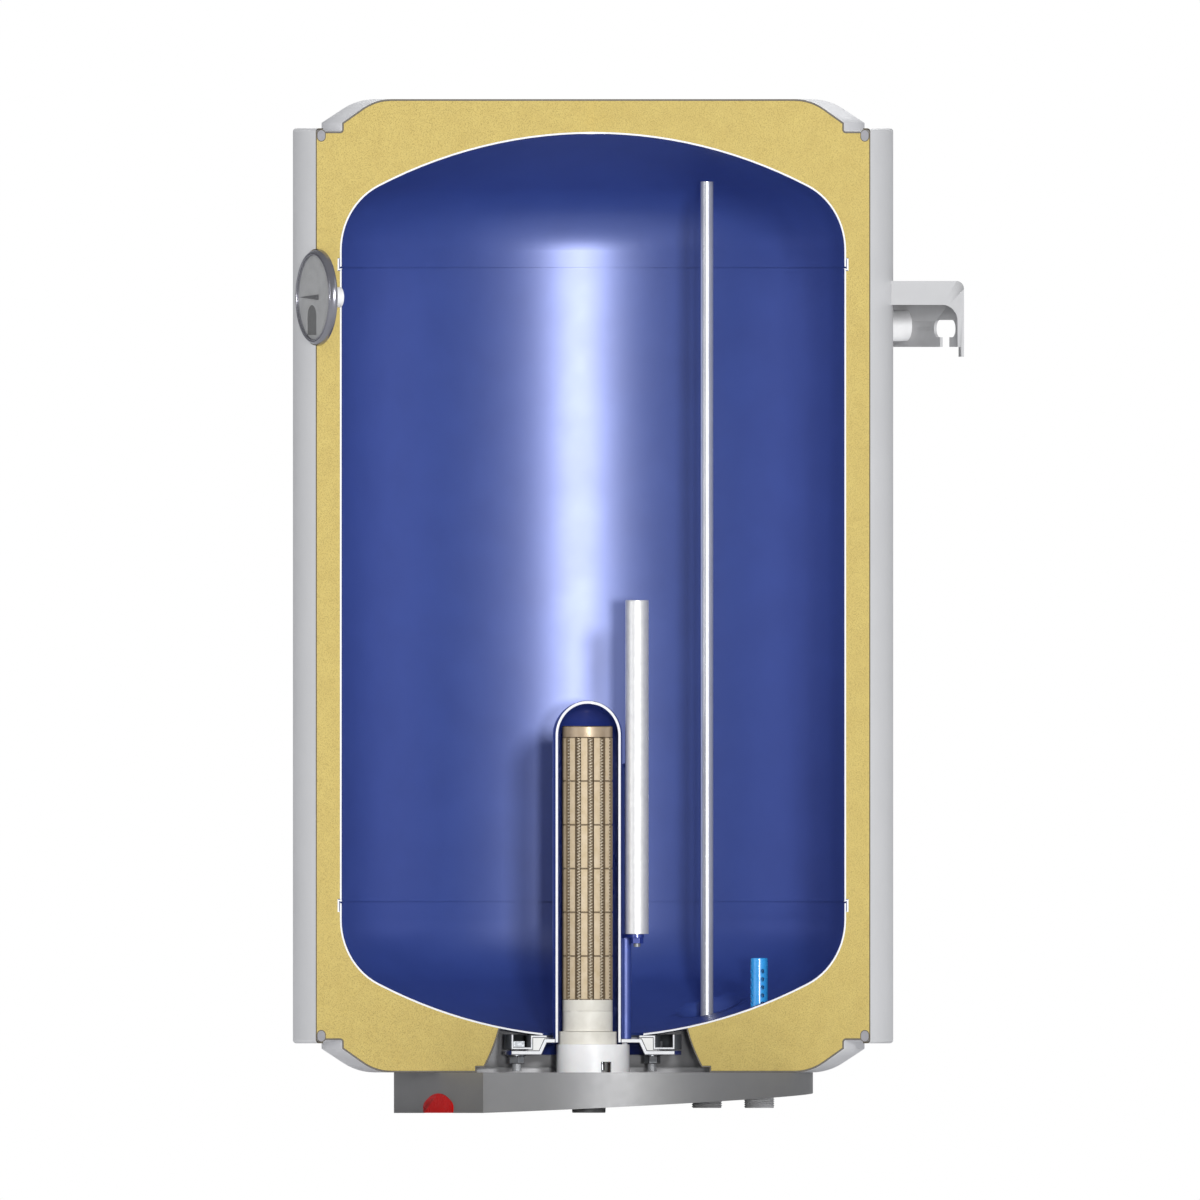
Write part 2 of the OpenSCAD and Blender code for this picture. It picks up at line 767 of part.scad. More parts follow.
// Everything above the housing's sloping underside, raised by the given wall
module above_slope(wall) {
    translate([0, -housing_front, -housing_depth]) rotate([housing_slope, 0, 0])
        translate([-BIG, -BIG, wall]) cube(2 * BIG);
}

// Height of the housing's sloping underside at one place along Y
function slope_z(y) = -housing_depth + (y + housing_front) * tan(housing_slope);

module outer_jacket() {
    inner_corner_r = rim_corner_r - jacket_t;
    color("gainsboro") difference() {
        turned() difference() {
            translate([0, rim_inset]) union() {
                translate([0, rim_corner_r]) square([jacket_r, casing_h - 2 * rim_inset - 2 * rim_corner_r]);
                square([jacket_r - rim_corner_r, casing_h - 2 * rim_inset]);
                translate([jacket_r - rim_corner_r, rim_corner_r]) circle(rim_corner_r);
                translate([jacket_r - rim_corner_r, casing_h - 2 * rim_inset - rim_corner_r])
                    circle(rim_corner_r);
            }
            translate([0, rim_inset + jacket_t])
                square([jacket_in_r, casing_h - 2 * rim_inset - 2 * jacket_t]);
            translate([0, -1]) square([jacket_r - rim_lip_w, casing_h + 2]);
        }
        along_y(-BIG, 0, dial_z, bezel_r + hole_clear);
        along_y(0, BIG, post_z, post_r);
    }
}

module top_cover() {
    color("silver") turned() translate([0, casing_h]) mirror([0, 1]) cover_profile();
}

// Half profile of the open well, with its wall taken off by the inset
module well_form(inset) {
    top_z = tank_floor_z + well_rise;
    mid = [(well_top_r + well_throat_r) / 2, (top_z + well_ledge_z) / 2];
    chord = [well_throat_r - well_top_r, well_ledge_z - top_z];
    reach = sqrt(pow(well_curve_r, 2) - pow(norm(chord) / 2, 2));
    centre = mid + reach * [-chord[1], chord[0]] / norm(chord);
    difference() {
        translate([0, -1]) square([well_throat_r + inset + 4, top_z + 1]);
        translate(centre) circle(well_curve_r - inset, $fn = FINE);
        translate([well_throat_r + inset, well_ledge_z + inset]) square(BIG);
    }
    translate([0, -1]) square([well_mouth_r + inset, well_ledge_z + inset + 1]);
}

module bottom_cover() {
    color("silver") difference() {
        turned() difference() {
            union() {
                cover_profile();
                difference() {
                    well_form(cover_t);
                    translate([0, -2]) square([well_mouth_r + 2 * cover_t, 2]);
                }
            }
            well_form(0);
            tank_form();
        }
        at_connections(-1, seat_z, nipple_neck_r);
        for (spot = column_spots) translate([spot[0], spot[1], -1]) cylinder(screw_bite + 1, screw_r, screw_r);
    }
}

module foam_insulation() {
    color("khaki") difference() {
        turned() difference() {
            foam_form();
            tank_form();
            well_form(cover_t);
        }
        seat_cones(tank_t);
        at_connections(-1, seat_z, nipple_neck_r);
        along_y(0, BIG, post_z, post_r);
        along_y(-BIG, bezel_back_y, dial_z, bezel_r + hole_clear);
        along_y(-BIG, case_back_y, dial_z, case_r);
        along_y(-BIG, 0, dial_z, stem_r);
        for (spot = column_spots) translate([spot[0], spot[1], -1]) cylinder(screw_bite + 1, screw_r, screw_r);
    }
}

module tank_shell() {
    low = lower_seam_z + seam_w / 2;
    high = upper_seam_z - seam_w / 2;
    color("royalblue") turned() {
        translate([tank_r, low]) square([tank_t, high - low]);
        translate([tank_out_r - EPS, low]) square([rim_out_r - tank_out_r + EPS, tank_t]);
        translate([tank_out_r - EPS, high - tank_t]) square([rim_out_r - tank_out_r + EPS, tank_t]);
        translate([rim_in_r, lower_seam_z - shell_rim_h]) square([tank_t, shell_rim_h + tank_t]);
        translate([rim_in_r, high]) square([tank_t, shell_rim_h]);
    }
}

module tank_top_head() {
    color("royalblue") turned() translate([0, tank_crown_z]) mirror([0, 1]) difference() {
        head_form(tank_t);
        head_form(0);
    }
}

module tank_bottom_head() {
    color("royalblue") difference() {
        union() {
            turned() translate([0, tank_floor_z]) head_form(tank_t);
            seat_cones(tank_t);
        }
        rotate_extrude() translate([0, tank_floor_z]) {
            head_form(0);
            translate([0, head_depth]) square([tank_r, BIG / 4]);
        }
        translate([0, 0, lower_seam_z - seam_w / 2]) cylinder(BIG / 4, jacket_r, jacket_r);
        seat_cones(0);
        at_connections(0, BIG / 4, nipple_neck_r);
        cylinder(BIG / 4, opening_r, opening_r);
        cut_wedge();
    }
}

module bolt_holes(low, high) {
    for (i = [0 : bolt_count - 1]) let (angle = bolt_angle + i * 360 / bolt_count)
        rotate(angle) translate([bolt_circle_r, 0, low]) cylinder(high - low, bolt_hole_r, bolt_hole_r);
}

module flange_ring() {
    color("dimgray") difference() {
        turned() {
            translate([ring_inner_r, hook_z]) square([ring_step_r + ring_t - ring_inner_r, ring_t]);
            translate([ring_step_r, channel_z]) square([ring_t, flange_step_h + ring_t]);
            translate([ring_step_r, channel_z]) square([flange_r - ring_step_r, ring_t]);
            difference() {
                translate([flange_r - ring_t, channel_z]) square([ring_t, ring_wall_h - channel_z]);
                translate([0, tank_floor_z]) head_form(tank_t);
                translate([0, tank_floor_z + 1]) square([flange_r + 1, ring_wall_h]);
            }
        }
        bolt_holes(channel_z - 1, channel_z + ring_t + 1);
    }
}

module flange_gasket() {
    color("white") turned() polygon([
        [ring_inner_r, plate_top_z], [ring_inner_r, hook_z], [ring_step_r, hook_z],
        [ring_step_r, channel_z], [gasket_r, channel_z], [gasket_r, seat_plate_z],
        [plate_raised_r + plate_slope_w, seat_plate_z], [plate_raised_r, plate_top_z]]);
}

module flange_plate() {
    color("navy") difference() {
        turned() polygon([
            [0, plate_top_z], [plate_raised_r, plate_top_z],
            [plate_raised_r + plate_slope_w, seat_plate_z], [flange_r, seat_plate_z],
            [flange_r, bolt_face_z], [plate_raised_r + plate_slope_w - mitre, bolt_face_z],
            [plate_raised_r - mitre, plate_under_z], [0, plate_under_z]]);
        translate([0, sheath_y, 0]) cylinder(BIG / 4, sheath_r, sheath_r);
        translate([0, pocket_y, 0]) cylinder(BIG / 4, pocket_r, pocket_r);
        bolt_holes(bolt_face_z - 1, seat_plate_z + 1);
    }
}

// Runs its children at each bolt that stands outside the cut-away wedge
module at_bolts() {
    for (i = [0 : bolt_count - 1]) let (angle = bolt_angle + i * 360 / bolt_count)
        if (!in_cut(angle)) rotate(angle) translate([bolt_circle_r, 0, 0]) children();
}

module flange_bolts() {
    head_z = channel_z + ring_t;
    color("lightgray") at_bolts() {
        translate([-bolt_head_w / 2, -bolt_head_w / 2, head_z]) cube([bolt_head_w, bolt_head_w, bolt_head_h]);
        translate([0, 0, bolt_face_z - bolt_reach])
            cylinder(head_z - bolt_face_z + bolt_reach + EPS, bolt_d / 2, bolt_d / 2);
    }
}

module flange_washers() {
    color("gray") at_bolts() translate([0, 0, bolt_face_z - washer_t]) difference() {
        cylinder(washer_t, washer_r, washer_r);
        translate([0, 0, -1])
            cylinder(washer_t + 2, bolt_d / 2 + washer_clear, bolt_d / 2 + washer_clear);
    }
}

module flange_nuts() {
    color("gray") at_bolts() translate([0, 0, bolt_face_z - washer_t - nut_h]) difference() {
        rotate(30) cylinder(nut_h, nut_corners / 2, nut_corners / 2, $fn = 6);
        translate([0, 0, -1]) cylinder(nut_h + 2, bolt_d / 2, bolt_d / 2);
    }
}

module element_sheath() {
    color("midnightblue") difference() {
        translate([0, sheath_y, 0]) rotate_extrude() difference() {
            union() {
                translate([0, plate_under_z]) square([sheath_r, dome_z - plate_under_z]);
                intersection() {
                    translate([0, dome_z]) circle(sheath_r);
                    translate([0, dome_z - 1]) square([sheath_r, sheath_r + 1]);
                }
            }
            translate([0, plate_under_z - 1]) square([sheath_r - sheath_t, dome_z - plate_under_z + 1]);
            translate([0, dome_z]) circle(sheath_r - sheath_t);
        }
        cut_wedge();
    }
}

// One ceramic bead, counted from the bottom
module ceramic_bead(number) {
    color("tan") translate([0, sheath_y, base_top_z + (number - 1) * bead_len]) difference() {
        rotate_extrude() polygon([
            [bead_bore_r, 0], [bead_r - bead_chamfer, 0], [bead_r, bead_chamfer],
            [bead_r, bead_len - bead_chamfer], [bead_r - bead_chamfer, bead_len], [bead_bore_r, bead_len]]);
        for (i = [0 : groove_count - 1]) rotate(groove_angle + i * 360 / groove_count)
            translate([groove_floor_r, -groove_w / 2, -1]) cube([2 * groove_depth, groove_w, bead_len + 2]);
    }
}

module ceramic_bead_1() ceramic_bead(1);
module ceramic_bead_2() ceramic_bead(2);
module ceramic_bead_3() ceramic_bead(3);
module ceramic_bead_4() ceramic_bead(4);
module ceramic_bead_5() ceramic_bead(5);
module ceramic_bead_6() ceramic_bead(6);

module ceramic_top_disc() {
    color("tan") translate([0, sheath_y, beads_top_z]) rotate_extrude() polygon([
        [bead_bore_r, 0], [bead_r, 0], [bead_r, top_disc_h - bead_chamfer],
        [bead_r - bead_chamfer, top_disc_h], [bead_bore_r, top_disc_h]]);
}

module ceramic_base() {
    ring_z = base_h * base_line_at;
    color("beige") translate([0, sheath_y, collar_top_z]) rotate_extrude() polygon([
        [rod_r, 0], [base_r, 0], [base_r, ring_z], [base_r - base_line, ring_z + base_line],
        [base_r, ring_z + 2 * base_line],
        [base_r, base_h], [rod_r, base_h]]);
}

module ceramic_collar() {
    color("beige") translate([0, sheath_y, holder_top_z]) rotate_extrude()
        polygon([[rod_r, 0], [collar_r, 0], [collar_r, collar_h - bead_chamfer],
            [collar_r - bead_chamfer, collar_h], [rod_r, collar_h]]);
}

module element_rod() {
    color("silver") translate([0, sheath_y, holder_top_z])
        cylinder(beads_top_z + top_disc_h - rod_sunk - holder_top_z, rod_r, rod_r);
}

// Centre line of one heating spiral, from the base up to the top disc
spiral_rings = 8;
spiral_run = beads_top_z - base_top_z - 2 * spiral_wire_d;
spiral_coil_r = spiral_r - spiral_wire_d / 2;
function spiral_point(i) = let (turn = 360 * i / spiral_rings) [
    spiral_axis_r + spiral_coil_r * cos(turn), spiral_coil_r * sin(turn),
    spiral_wire_d + spiral_run * i / (spiral_rings * spiral_curls)];
spiral_steps = spiral_rings * spiral_curls;
spiral_line = [for (i = [0 : spiral_steps]) spiral_point(i)];
spiral_path = concat(
    [[spiral_line[0][0], spiral_line[0][1], 0]], spiral_line,
    [[spiral_line[spiral_steps][0], spiral_line[spiral_steps][1], spiral_run + 2 * spiral_wire_d]]);
spiral_gap = min([for (i = [0 : spiral_steps - 5]) for (j = [i + 5 : spiral_steps])
    norm(spiral_line[i] - spiral_line[j])]) - spiral_wire_d;
echo(least_gap_between_curls = spiral_gap);

// One spiral as a single closed tube of six sides
module spiral_tube() {
    tube([for (p = spiral_path) tube_ring(p, [1, 0, 0], [0, 1, 0], spiral_wire_d / 2, 6)]);
}

module heating_spirals() {
    color("gray") translate([0, sheath_y, base_top_z]) for (i = [0 : groove_count - 1])
        rotate(groove_angle + i * 360 / groove_count) spiral_tube();
}

module element_holder() {
    color("white") difference() {
        union() {
            difference() {
                translate([0, 0, holder_low_z]) cylinder(holder_h, holder_r, holder_r);
                translate([0, 0, holder_low_z - 1])
                    cylinder(holder_h - holder_t + 1, holder_r - holder_t, holder_r - holder_t);
            }
            for (angle = pad_angles) rotate(angle)
                translate([holder_r - pad_r - holder_t / 2, 0, holder_top_z - 1])
                    cylinder(holder_gap + 1, pad_r, pad_r);
        }
        translate([-notch_w / 2, pocket_y - notch_w / 2, holder_low_z - 1]) cube([notch_w, BIG, holder_h + 4]);
        rotate(window_angle) translate([0, -window_w / 2, holder_low_z - 1])
            cube([BIG, window_w, window_top_z - holder_low_z + 1]);
        terminal_pins(holder_low_z, holder_top_z + 1);
    }
}

// The pins under the heating element
module terminal_pins(low, high) {
    for (i = [0 : terminal_count - 1])
        translate([0, sheath_y, low]) rotate(45 + i * 360 / terminal_count) translate([terminal_circle_r, 0, 0])
            cylinder(high - low, terminal_r, terminal_r);
}

module element_terminals() {
    color("silver") terminal_pins(holder_low_z + terminal_up, holder_top_z);
}

module sensor_pocket() {
    color("navy") translate([0, pocket_y, 0]) rotate_extrude() difference() {
        union() {
            translate([0, plate_under_z]) square([pocket_r, pocket_top_z - pocket_r - plate_under_z]);
            intersection() {
                translate([0, pocket_top_z - pocket_r]) circle(pocket_r);
                translate([0, pocket_top_z - pocket_r - 1]) square([pocket_r, pocket_r + 1]);
            }
        }
        translate([0, plate_under_z - 1]) square([pocket_bore_r, pocket_top_z - pocket_r - plate_under_z + 1]);
        translate([0, pocket_top_z - pocket_r]) circle(pocket_bore_r);
    }
}

module sensor_bulb() {
    color("peru") translate([0, pocket_y, bulb_z]) cylinder(bulb_len, bulb_r, bulb_r);
}

// Thin tube from the thermostat back under the sensor pocket and up to the bulb
module sensor_capillary() {
    low_z = thermostat_low_z + capillary_up;
    bend_y = pocket_y - capillary_bend_r;
    bend_z = low_z + capillary_bend_r;
    color("peru") tube(concat(
        [tube_ring([0, knob_y + thermostat_d / 2, low_z], [1, 0, 0], [0, 0, -1], capillary_r, 8)],
        [for (turn = [0 : 15 : 90]) tube_ring(
            [0, bend_y + capillary_bend_r * sin(turn), bend_z - capillary_bend_r * cos(turn)],
            [1, 0, 0], [0, sin(turn), -cos(turn)], capillary_r, 8)],
        [tube_ring([0, pocket_y, bulb_z], [1, 0, 0], [0, 1, 0], capillary_r, 8)]));
}

module anode_bracket() {
    reach = [anode_x, anode_y - pocket_y];
    color("navy") translate([0, pocket_y, anode_z - anode_bracket_t]) difference() {
        union() {
            rotate(atan2(reach[1], reach[0])) translate([0, -anode_bracket_w / 2, 0])
                cube([norm(reach), anode_bracket_w, anode_bracket_t]);
            translate([reach[0], reach[1], 0])
                cylinder(anode_bracket_t, anode_bracket_w / 2, anode_bracket_w / 2);
        }
        translate([0, 0, -1]) cylinder(anode_bracket_t + 2, pocket_r, pocket_r);
        translate([0, sheath_y - pocket_y, -1])
            cylinder(anode_bracket_t + 2, sheath_r + anode_bracket_clear, sheath_r + anode_bracket_clear);
        translate([reach[0], reach[1], -1]) cylinder(anode_bracket_t + 2, anode_stud_r, anode_stud_r);
    }
}

module anode_rod() {
    color("lightgray") translate([anode_x, anode_y, anode_z]) difference() {
        rotate_extrude() polygon([[0, 0], [anode_r, 0], [anode_r, anode_len - bead_chamfer],
            [anode_r - bead_chamfer, anode_len], [0, anode_len]]);
        translate([0, 0, -1]) cylinder(anode_stud_deep + 1, anode_stud_r, anode_stud_r);
    }
}

module anode_stud() {
    low = anode_z - anode_bracket_t - anode_stud_below;
    color("silver") translate([anode_x, anode_y, low])
        cylinder(anode_z + anode_stud_deep - low, anode_stud_r, anode_stud_r);
}

module anode_nut() {
    color("silver") translate([anode_x, anode_y, anode_z - anode_bracket_t - anode_nut_h]) difference() {
        cylinder(anode_nut_h, anode_nut_corners / 2, anode_nut_corners / 2, $fn = 6);
        translate([0, 0, -1]) cylinder(anode_nut_h + 2, anode_stud_r, anode_stud_r);
    }
}

// A threaded connection that passes from the tank's seat through the casing and the housing
module nipple() {
    color("silver") translate([0, pipe_y, nipple_low_z]) rotate_extrude() polygon([
        [nipple_bore_r, 0], [nipple_r - nipple_edge, 0], [nipple_r, nipple_edge], [nipple_r, thread_len],
        [nipple_neck_r, thread_len], [nipple_neck_r, seat_z - nipple_low_z],
        [nipple_bore_r, seat_z - nipple_low_z]]);
}

module hot_nipple() translate([-pipe_x, 0, 0]) nipple();
module cold_nipple() translate([pipe_x, 0, 0]) nipple();

module hot_pipe_bush() {
    color("whitesmoke") translate([-pipe_x, pipe_y, bush_top_z - bush_len]) difference() {
        cylinder(bush_len, nipple_bore_r, nipple_bore_r);
        translate([0, 0, -1]) cylinder(bush_len + 2, hot_pipe_r, hot_pipe_r);
    }
}

module hot_outlet_pipe() {
    low = bush_top_z - bush_len - pipe_tail;
    color("lightsteelblue") translate([-pipe_x, pipe_y, low]) difference() {
        cylinder(hot_pipe_top_z - low, hot_pipe_r, hot_pipe_r);
        translate([0, 0, -1]) cylinder(BIG, hot_pipe_r - hot_pipe_t, hot_pipe_r - hot_pipe_t);
    }
}

module cold_diffuser() {
    low = bush_top_z - bush_len;
    color("deepskyblue") translate([pipe_x, pipe_y, 0]) difference() {
        rotate_extrude() polygon([
            [diffuser_r - diffuser_t, low], [nipple_bore_r, low], [nipple_bore_r, bush_top_z],
            [diffuser_r, bush_top_z], [diffuser_r, diffuser_top_z - diffuser_edge],
            [diffuser_r - diffuser_edge, diffuser_top_z], [0, diffuser_top_z],
            [0, diffuser_top_z - diffuser_t], [diffuser_r - diffuser_t, diffuser_top_z - diffuser_t]]);
        for (row = [0 : diffuser_rows - 1]) for (angle = diffuser_angles)
            translate([0, 0, diffuser_top_z - diffuser_first - row * diffuser_pitch]) rotate(angle)
                rotate([0, 90, 0]) cylinder(diffuser_r + 1, diffuser_hole_r, diffuser_hole_r);
    }
}

// Side view of the bracket, as Y and Z, shrunk by the inset
module bracket_form(inset) {
    bend = bracket_bend_r - inset;
    far = wall_y - inset;
    high = bracket_top_z - inset;
    low = bracket_low_z - inset;
    translate([0, low]) square([far - bend, high - low]);
    translate([0, low]) square([far, high - bend - low]);
    translate([far - bend, high - bend]) circle(bend);
}

// One hanging slot: a long round-ended head with a neck that is open below
module hanging_slot() {
    r = slot_h / 2;
    reach = slot_len / 2 - r;
    depth = 4 * bracket_t;
    translate([0, wall_y - 2 * bracket_t, slot_z]) {
        for (side = [-1, 1]) translate([side * reach, 0, 0]) rotate([-90, 0, 0]) cylinder(depth, r, r);
        translate([-reach, 0, -r]) cube([2 * reach, depth, slot_h]);
        translate([-slot_neck_w / 2, 0, -bracket_below - 1]) cube([slot_neck_w, depth, bracket_below + 1]);
    }
}

module wall_bracket() {
    opening_y = wall_y - cheek_border;
    opening_z = bracket_top_z - cheek_band;
    color("gainsboro") difference() {
        union() {
            difference() {
                translate([-bracket_half_w, 0, 0]) rotate([90, 0, 90]) linear_extrude(2 * bracket_half_w)
                    bracket_form(0);
                translate([-bracket_half_w + bracket_t, 0, 0]) rotate([90, 0, 90])
                    linear_extrude(2 * (bracket_half_w - bracket_t)) union() {
                        bracket_form(bracket_t);
                        square([wall_y - bracket_t, bracket_low_z + 1]);
                    }
                translate([-bracket_half_w - 1, 0, 0]) rotate([90, 0, 90])
                    linear_extrude(2 * bracket_half_w + 2) difference() {
                        square([opening_y, opening_z]);
                        translate([opening_y - cheek_corner_r, opening_z - cheek_corner_r]) difference() {
                            square(cheek_corner_r + 1);
                            circle(cheek_corner_r);
                        }
                    }
            }
            for (side = [-1, 1]) translate([side * (bracket_half_w - end_lip_w / 2) - end_lip_w / 2,
                wall_y - bracket_t, bracket_low_z - end_lip_h]) cube([end_lip_w, bracket_t, end_lip_h + 1]);
        }
        cylinder(BIG, jacket_r, jacket_r);
        for (side = [-1, 1]) translate([side * slot_spacing / 2, 0, 0]) hanging_slot();
    }
}

module bracket_post() {
    color("silver") difference() {
        along_y(tank_r, wall_y - bracket_t, post_z, post_r);
        cylinder(BIG, tank_out_r, tank_out_r);
    }
}

// Outline of the housing from above: a circle with a flat front
module housing_outline(inset) {
    intersection() {
        translate([0, housing_y]) circle(housing_r - inset, $fn = FINE);
        translate([-BIG, -housing_front + inset]) square(2 * BIG);
    }
}

// Shape of the pilot lens as seen from the front
module lens_shape(grow) {
    translate([0, lens_z]) {
        intersection() {
            translate([0, lens_half_h - lens_big_r]) circle(lens_big_r + grow, $fn = FINE);
            translate([0, lens_big_r - lens_half_h]) circle(lens_big_r + grow, $fn = FINE);
            square([2 * lens_tangent_x, 4 * lens_half_h], center = true);
        }
        for (side = [-1, 1]) translate([side * (lens_half_w - lens_end_r), 0]) circle(lens_end_r + grow);
    }
}

// The lens shape carried along Y between two distances in front of the tank's axis
module lens_bar(front, back, grow) {
    translate([0, -back, 0]) rotate([90, 0, 0]) linear_extrude(front - back) lens_shape(grow);
}

// Lays its children square to the sloping underside at the cable gland
module at_gland() {
    translate([gland_x, gland_y, slope_z(gland_y)]) rotate([housing_slope, 0, 0]) children();
}

module control_housing() {
    color("slategray") difference() {
        union() {
            difference() {
                intersection() {
                    translate([0, 0, -2 * housing_depth]) linear_extrude(2 * housing_depth) housing_outline(0);
                    above_slope(0);
                }
                intersection() {
                    translate([0, 0, -2 * housing_depth]) linear_extrude(2 * housing_depth + 1)
                        housing_outline(housing_t);
                    above_slope(housing_t);
                }
            }
            intersection() {
                union() {
                    for (spot = column_spots) translate([spot[0], spot[1], -2 * housing_depth])
                        cylinder(2 * housing_depth, column_r, column_r);
                    for (side = [-1, 1])
                        translate([block_x + side * block_w / 3, block_y, -2 * housing_depth])
                            cylinder(2 * housing_depth + block_low_z, block_foot_r, block_foot_r);
                }
                above_slope(EPS);
            }
        }
        for (spot = column_spots) {
            translate([spot[0], spot[1], -2 * housing_depth]) cylinder(2 * housing_depth + 1, screw_r, screw_r);
            translate([spot[0], spot[1], -2 * housing_depth])
                cylinder(2 * housing_depth + slope_z(spot[1]) + screw_recess,
                    screw_head_r + screw_head_clear, screw_head_r + screw_head_clear);
        }
        at_connections(-2 * housing_depth, 1, nipple_r + nipple_clear);
        translate([0, knob_y, -2 * housing_depth]) cylinder(2 * housing_depth, knob_hole_r, knob_hole_r);
        at_gland() translate([0, 0, -1]) cylinder(housing_t + 2, gland_r, gland_r);
        lens_bar(housing_front + 1, housing_front - housing_t - lens_rim - lens_clear, lens_clear);
    }
}

module housing_screws() {
    color("silver") for (spot = column_spots) {
        head_top = slope_z(spot[1]) + screw_recess;
        translate([spot[0], spot[1], head_top - EPS])
            cylinder(screw_bite - head_top + EPS, screw_r, screw_r);
        translate([spot[0], spot[1], head_top - screw_head_h]) difference() {
            cylinder(screw_head_h, screw_head_r, screw_head_r);
            for (turn = [0, 90]) rotate(turn) translate([-screw_slot_len / 2, -screw_slot_w / 2, -1])
                cube([screw_slot_len, screw_slot_w, screw_slot_depth + 1]);
        }
    }
}

module pilot_lens() {
    color("red") intersection() {
        lens_bar(housing_front + lens_proud, housing_front - housing_t - lens_rim, 0);
        above_slope(lens_clear);
    }
}

module cable_gland() {
    color("dimgray") at_gland() difference() {
        union() {
            translate([0, 0, -gland_flange_h])
                cylinder(gland_flange_h, gland_corners / 2, gland_corners / 2, $fn = 6);
            cylinder(housing_t + gland_inside, gland_r, gland_r);
        }
        translate([0, 0, -gland_flange_h - 1])
            cylinder(gland_flange_h + housing_t + gland_inside + 2, gland_bore_r, gland_bore_r);
    }
}

module gland_nut() {
    color("dimgray") at_gland() translate([0, 0, housing_t]) difference() {
        cylinder(gland_nut_h, gland_corners / 2, gland_corners / 2, $fn = 6);
        translate([0, 0, -1]) cylinder(gland_nut_h + 2, gland_r, gland_r);
    }
}

module thermostat_body() {
    color("ivory") difference() {
        union() {
            translate([-thermostat_w / 2, knob_y - thermostat_d / 2, thermostat_low_z])
                cube([thermostat_w, thermostat_d, thermostat_h]);
            translate([0, knob_y, bushing_low_z]) cylinder(bushing_h + 1, bushing_r, bushing_r);
        }
        translate([0, knob_y, bushing_low_z - 1])
            cylinder(spindle_top_z + spindle_end - bushing_low_z + 1,
                spindle_r + spindle_clear, spindle_r + spindle_clear);
    }
}

module thermostat_spindle() {
    color("silver") translate([0, knob_y, spindle_low_z])
        cylinder(spindle_top_z - spindle_low_z, spindle_r, spindle_r);
}

module thermostat_knob() {
    color("dimgray") translate([0, knob_y, 0]) difference() {
        rotate_extrude() polygon([
            [0, -knob_bottom], [knob_face_r - knob_edge, -knob_bottom], [knob_face_r, -knob_bottom + knob_edge],
            [knob_r, knob_top_z], [0, knob_top_z]]);
        translate([0, 0, spindle_low_z]) cylinder(BIG / 4, spindle_r, spindle_r);
        translate([-knob_mark_w / 2, -knob_r - 1, -knob_bottom - 1])
            cube([knob_mark_w, knob_r + 1 - knob_mark_room, knob_mark_depth + 1]);
    }
}

// Middle of the safety cut-out along X, and the room above its button
cutout_x = thermostat_w / 2 + cutout_w / 2;
button_end = 0.2;
cutout_low = 1;

module safety_cutout() {
    color("black") difference() {
        translate([thermostat_w / 2, knob_y - cutout_d / 2, thermostat_low_z])
            cube([cutout_w, cutout_d, thermostat_h - cutout_low]);
        translate([cutout_x, knob_y, thermostat_low_z - 1])
            cylinder(button_held + button_travel + button_end + 1,
                button_r + button_clear, button_r + button_clear);
    }
}

module reset_button() {
    color("red") translate([cutout_x, knob_y, thermostat_low_z - button_out])
        cylinder(button_out + button_held, button_r, button_r);
}

module terminal_block() {
    step = block_w / block_poles;
    color("white") translate([block_x - block_w / 2, block_y - block_d / 2, block_low_z]) difference() {
        cube([block_w, block_d, block_h]);
        for (i = [0 : block_poles - 1]) translate([(i + 0.5) * step, 0, 0]) {
            translate([0, block_d / 2, block_h - block_screw_depth])
                cylinder(block_screw_depth + 1, step * block_screw_share, step * block_screw_share);
            translate([0, -1, block_h * block_wire_at]) rotate([-90, 0, 0])
                cylinder(block_wire_depth + 1, step * block_wire_share, step * block_wire_share);
        }
    }
}

module dial_stem() {
    color("silver") difference() {
        along_y(case_back_y, -tank_r, dial_z, stem_r);
        cylinder(BIG, tank_out_r, tank_out_r);
    }
}

module dial_case() {
    color("dimgray") difference() {
        along_y(face_back_y, case_back_y, dial_z, case_r);
        along_y(face_back_y - 1, case_back_y - case_t, dial_z, case_r - case_t);
        along_y(face_back_y - 1, case_back_y - case_t / 2, dial_z, arbor_r + arbor_clear);
    }
}

module dial_face() {
    color("darkgray") difference() {
        along_y(face_front_y, face_back_y, dial_z, face_r);
        along_y(face_front_y - 1, face_back_y + 1, dial_z, arbor_r + arbor_clear);
        translate([arch_x, face_front_y + arch_depth, dial_z]) rotate([90, 0, 0])
            linear_extrude(arch_depth + 1) {
            translate([0, -arch_top - arch_w / 2]) circle(arch_w / 2);
            translate([-arch_w / 2, -arch_bottom]) square([arch_w, arch_bottom - arch_top - arch_w / 2]);
        }
    }
}

module dial_pointer() {
    arbor_back_y = case_back_y - case_t / 2 - arbor_end;
    color("black") union() {
        translate([0, pointer_back_y, dial_z]) rotate([90, 0, 0]) linear_extrude(pointer_t)
            polygon([[-pointer_len, 0], [pointer_tail, -pointer_w / 2], [pointer_tail, pointer_w / 2]]);
        along_y(pointer_back_y - EPS, arbor_back_y, dial_z, arbor_r);
    }
}

module dial_lens() {
    color("lightcyan", 0.3) along_y(lens_front_y, lens_back_y, dial_z, bezel_seat_r);
}

module dial_bezel() {
    color("gray") translate([0, bezel_front_y, dial_z]) rotate([-90, 0, 0]) rotate_extrude() difference() {
        polygon([[face_r, 0], [bezel_front_r, 0], [bezel_front_r + bezel_bevel, bezel_bevel * 0.6],
            [bezel_r, bezel_depth - bezel_back_h], [bezel_r, bezel_depth], [face_r, bezel_depth]]);
        translate([0, lens_front_y - bezel_front_y]) square([bezel_seat_r, dial_lens_t]);
    }
}

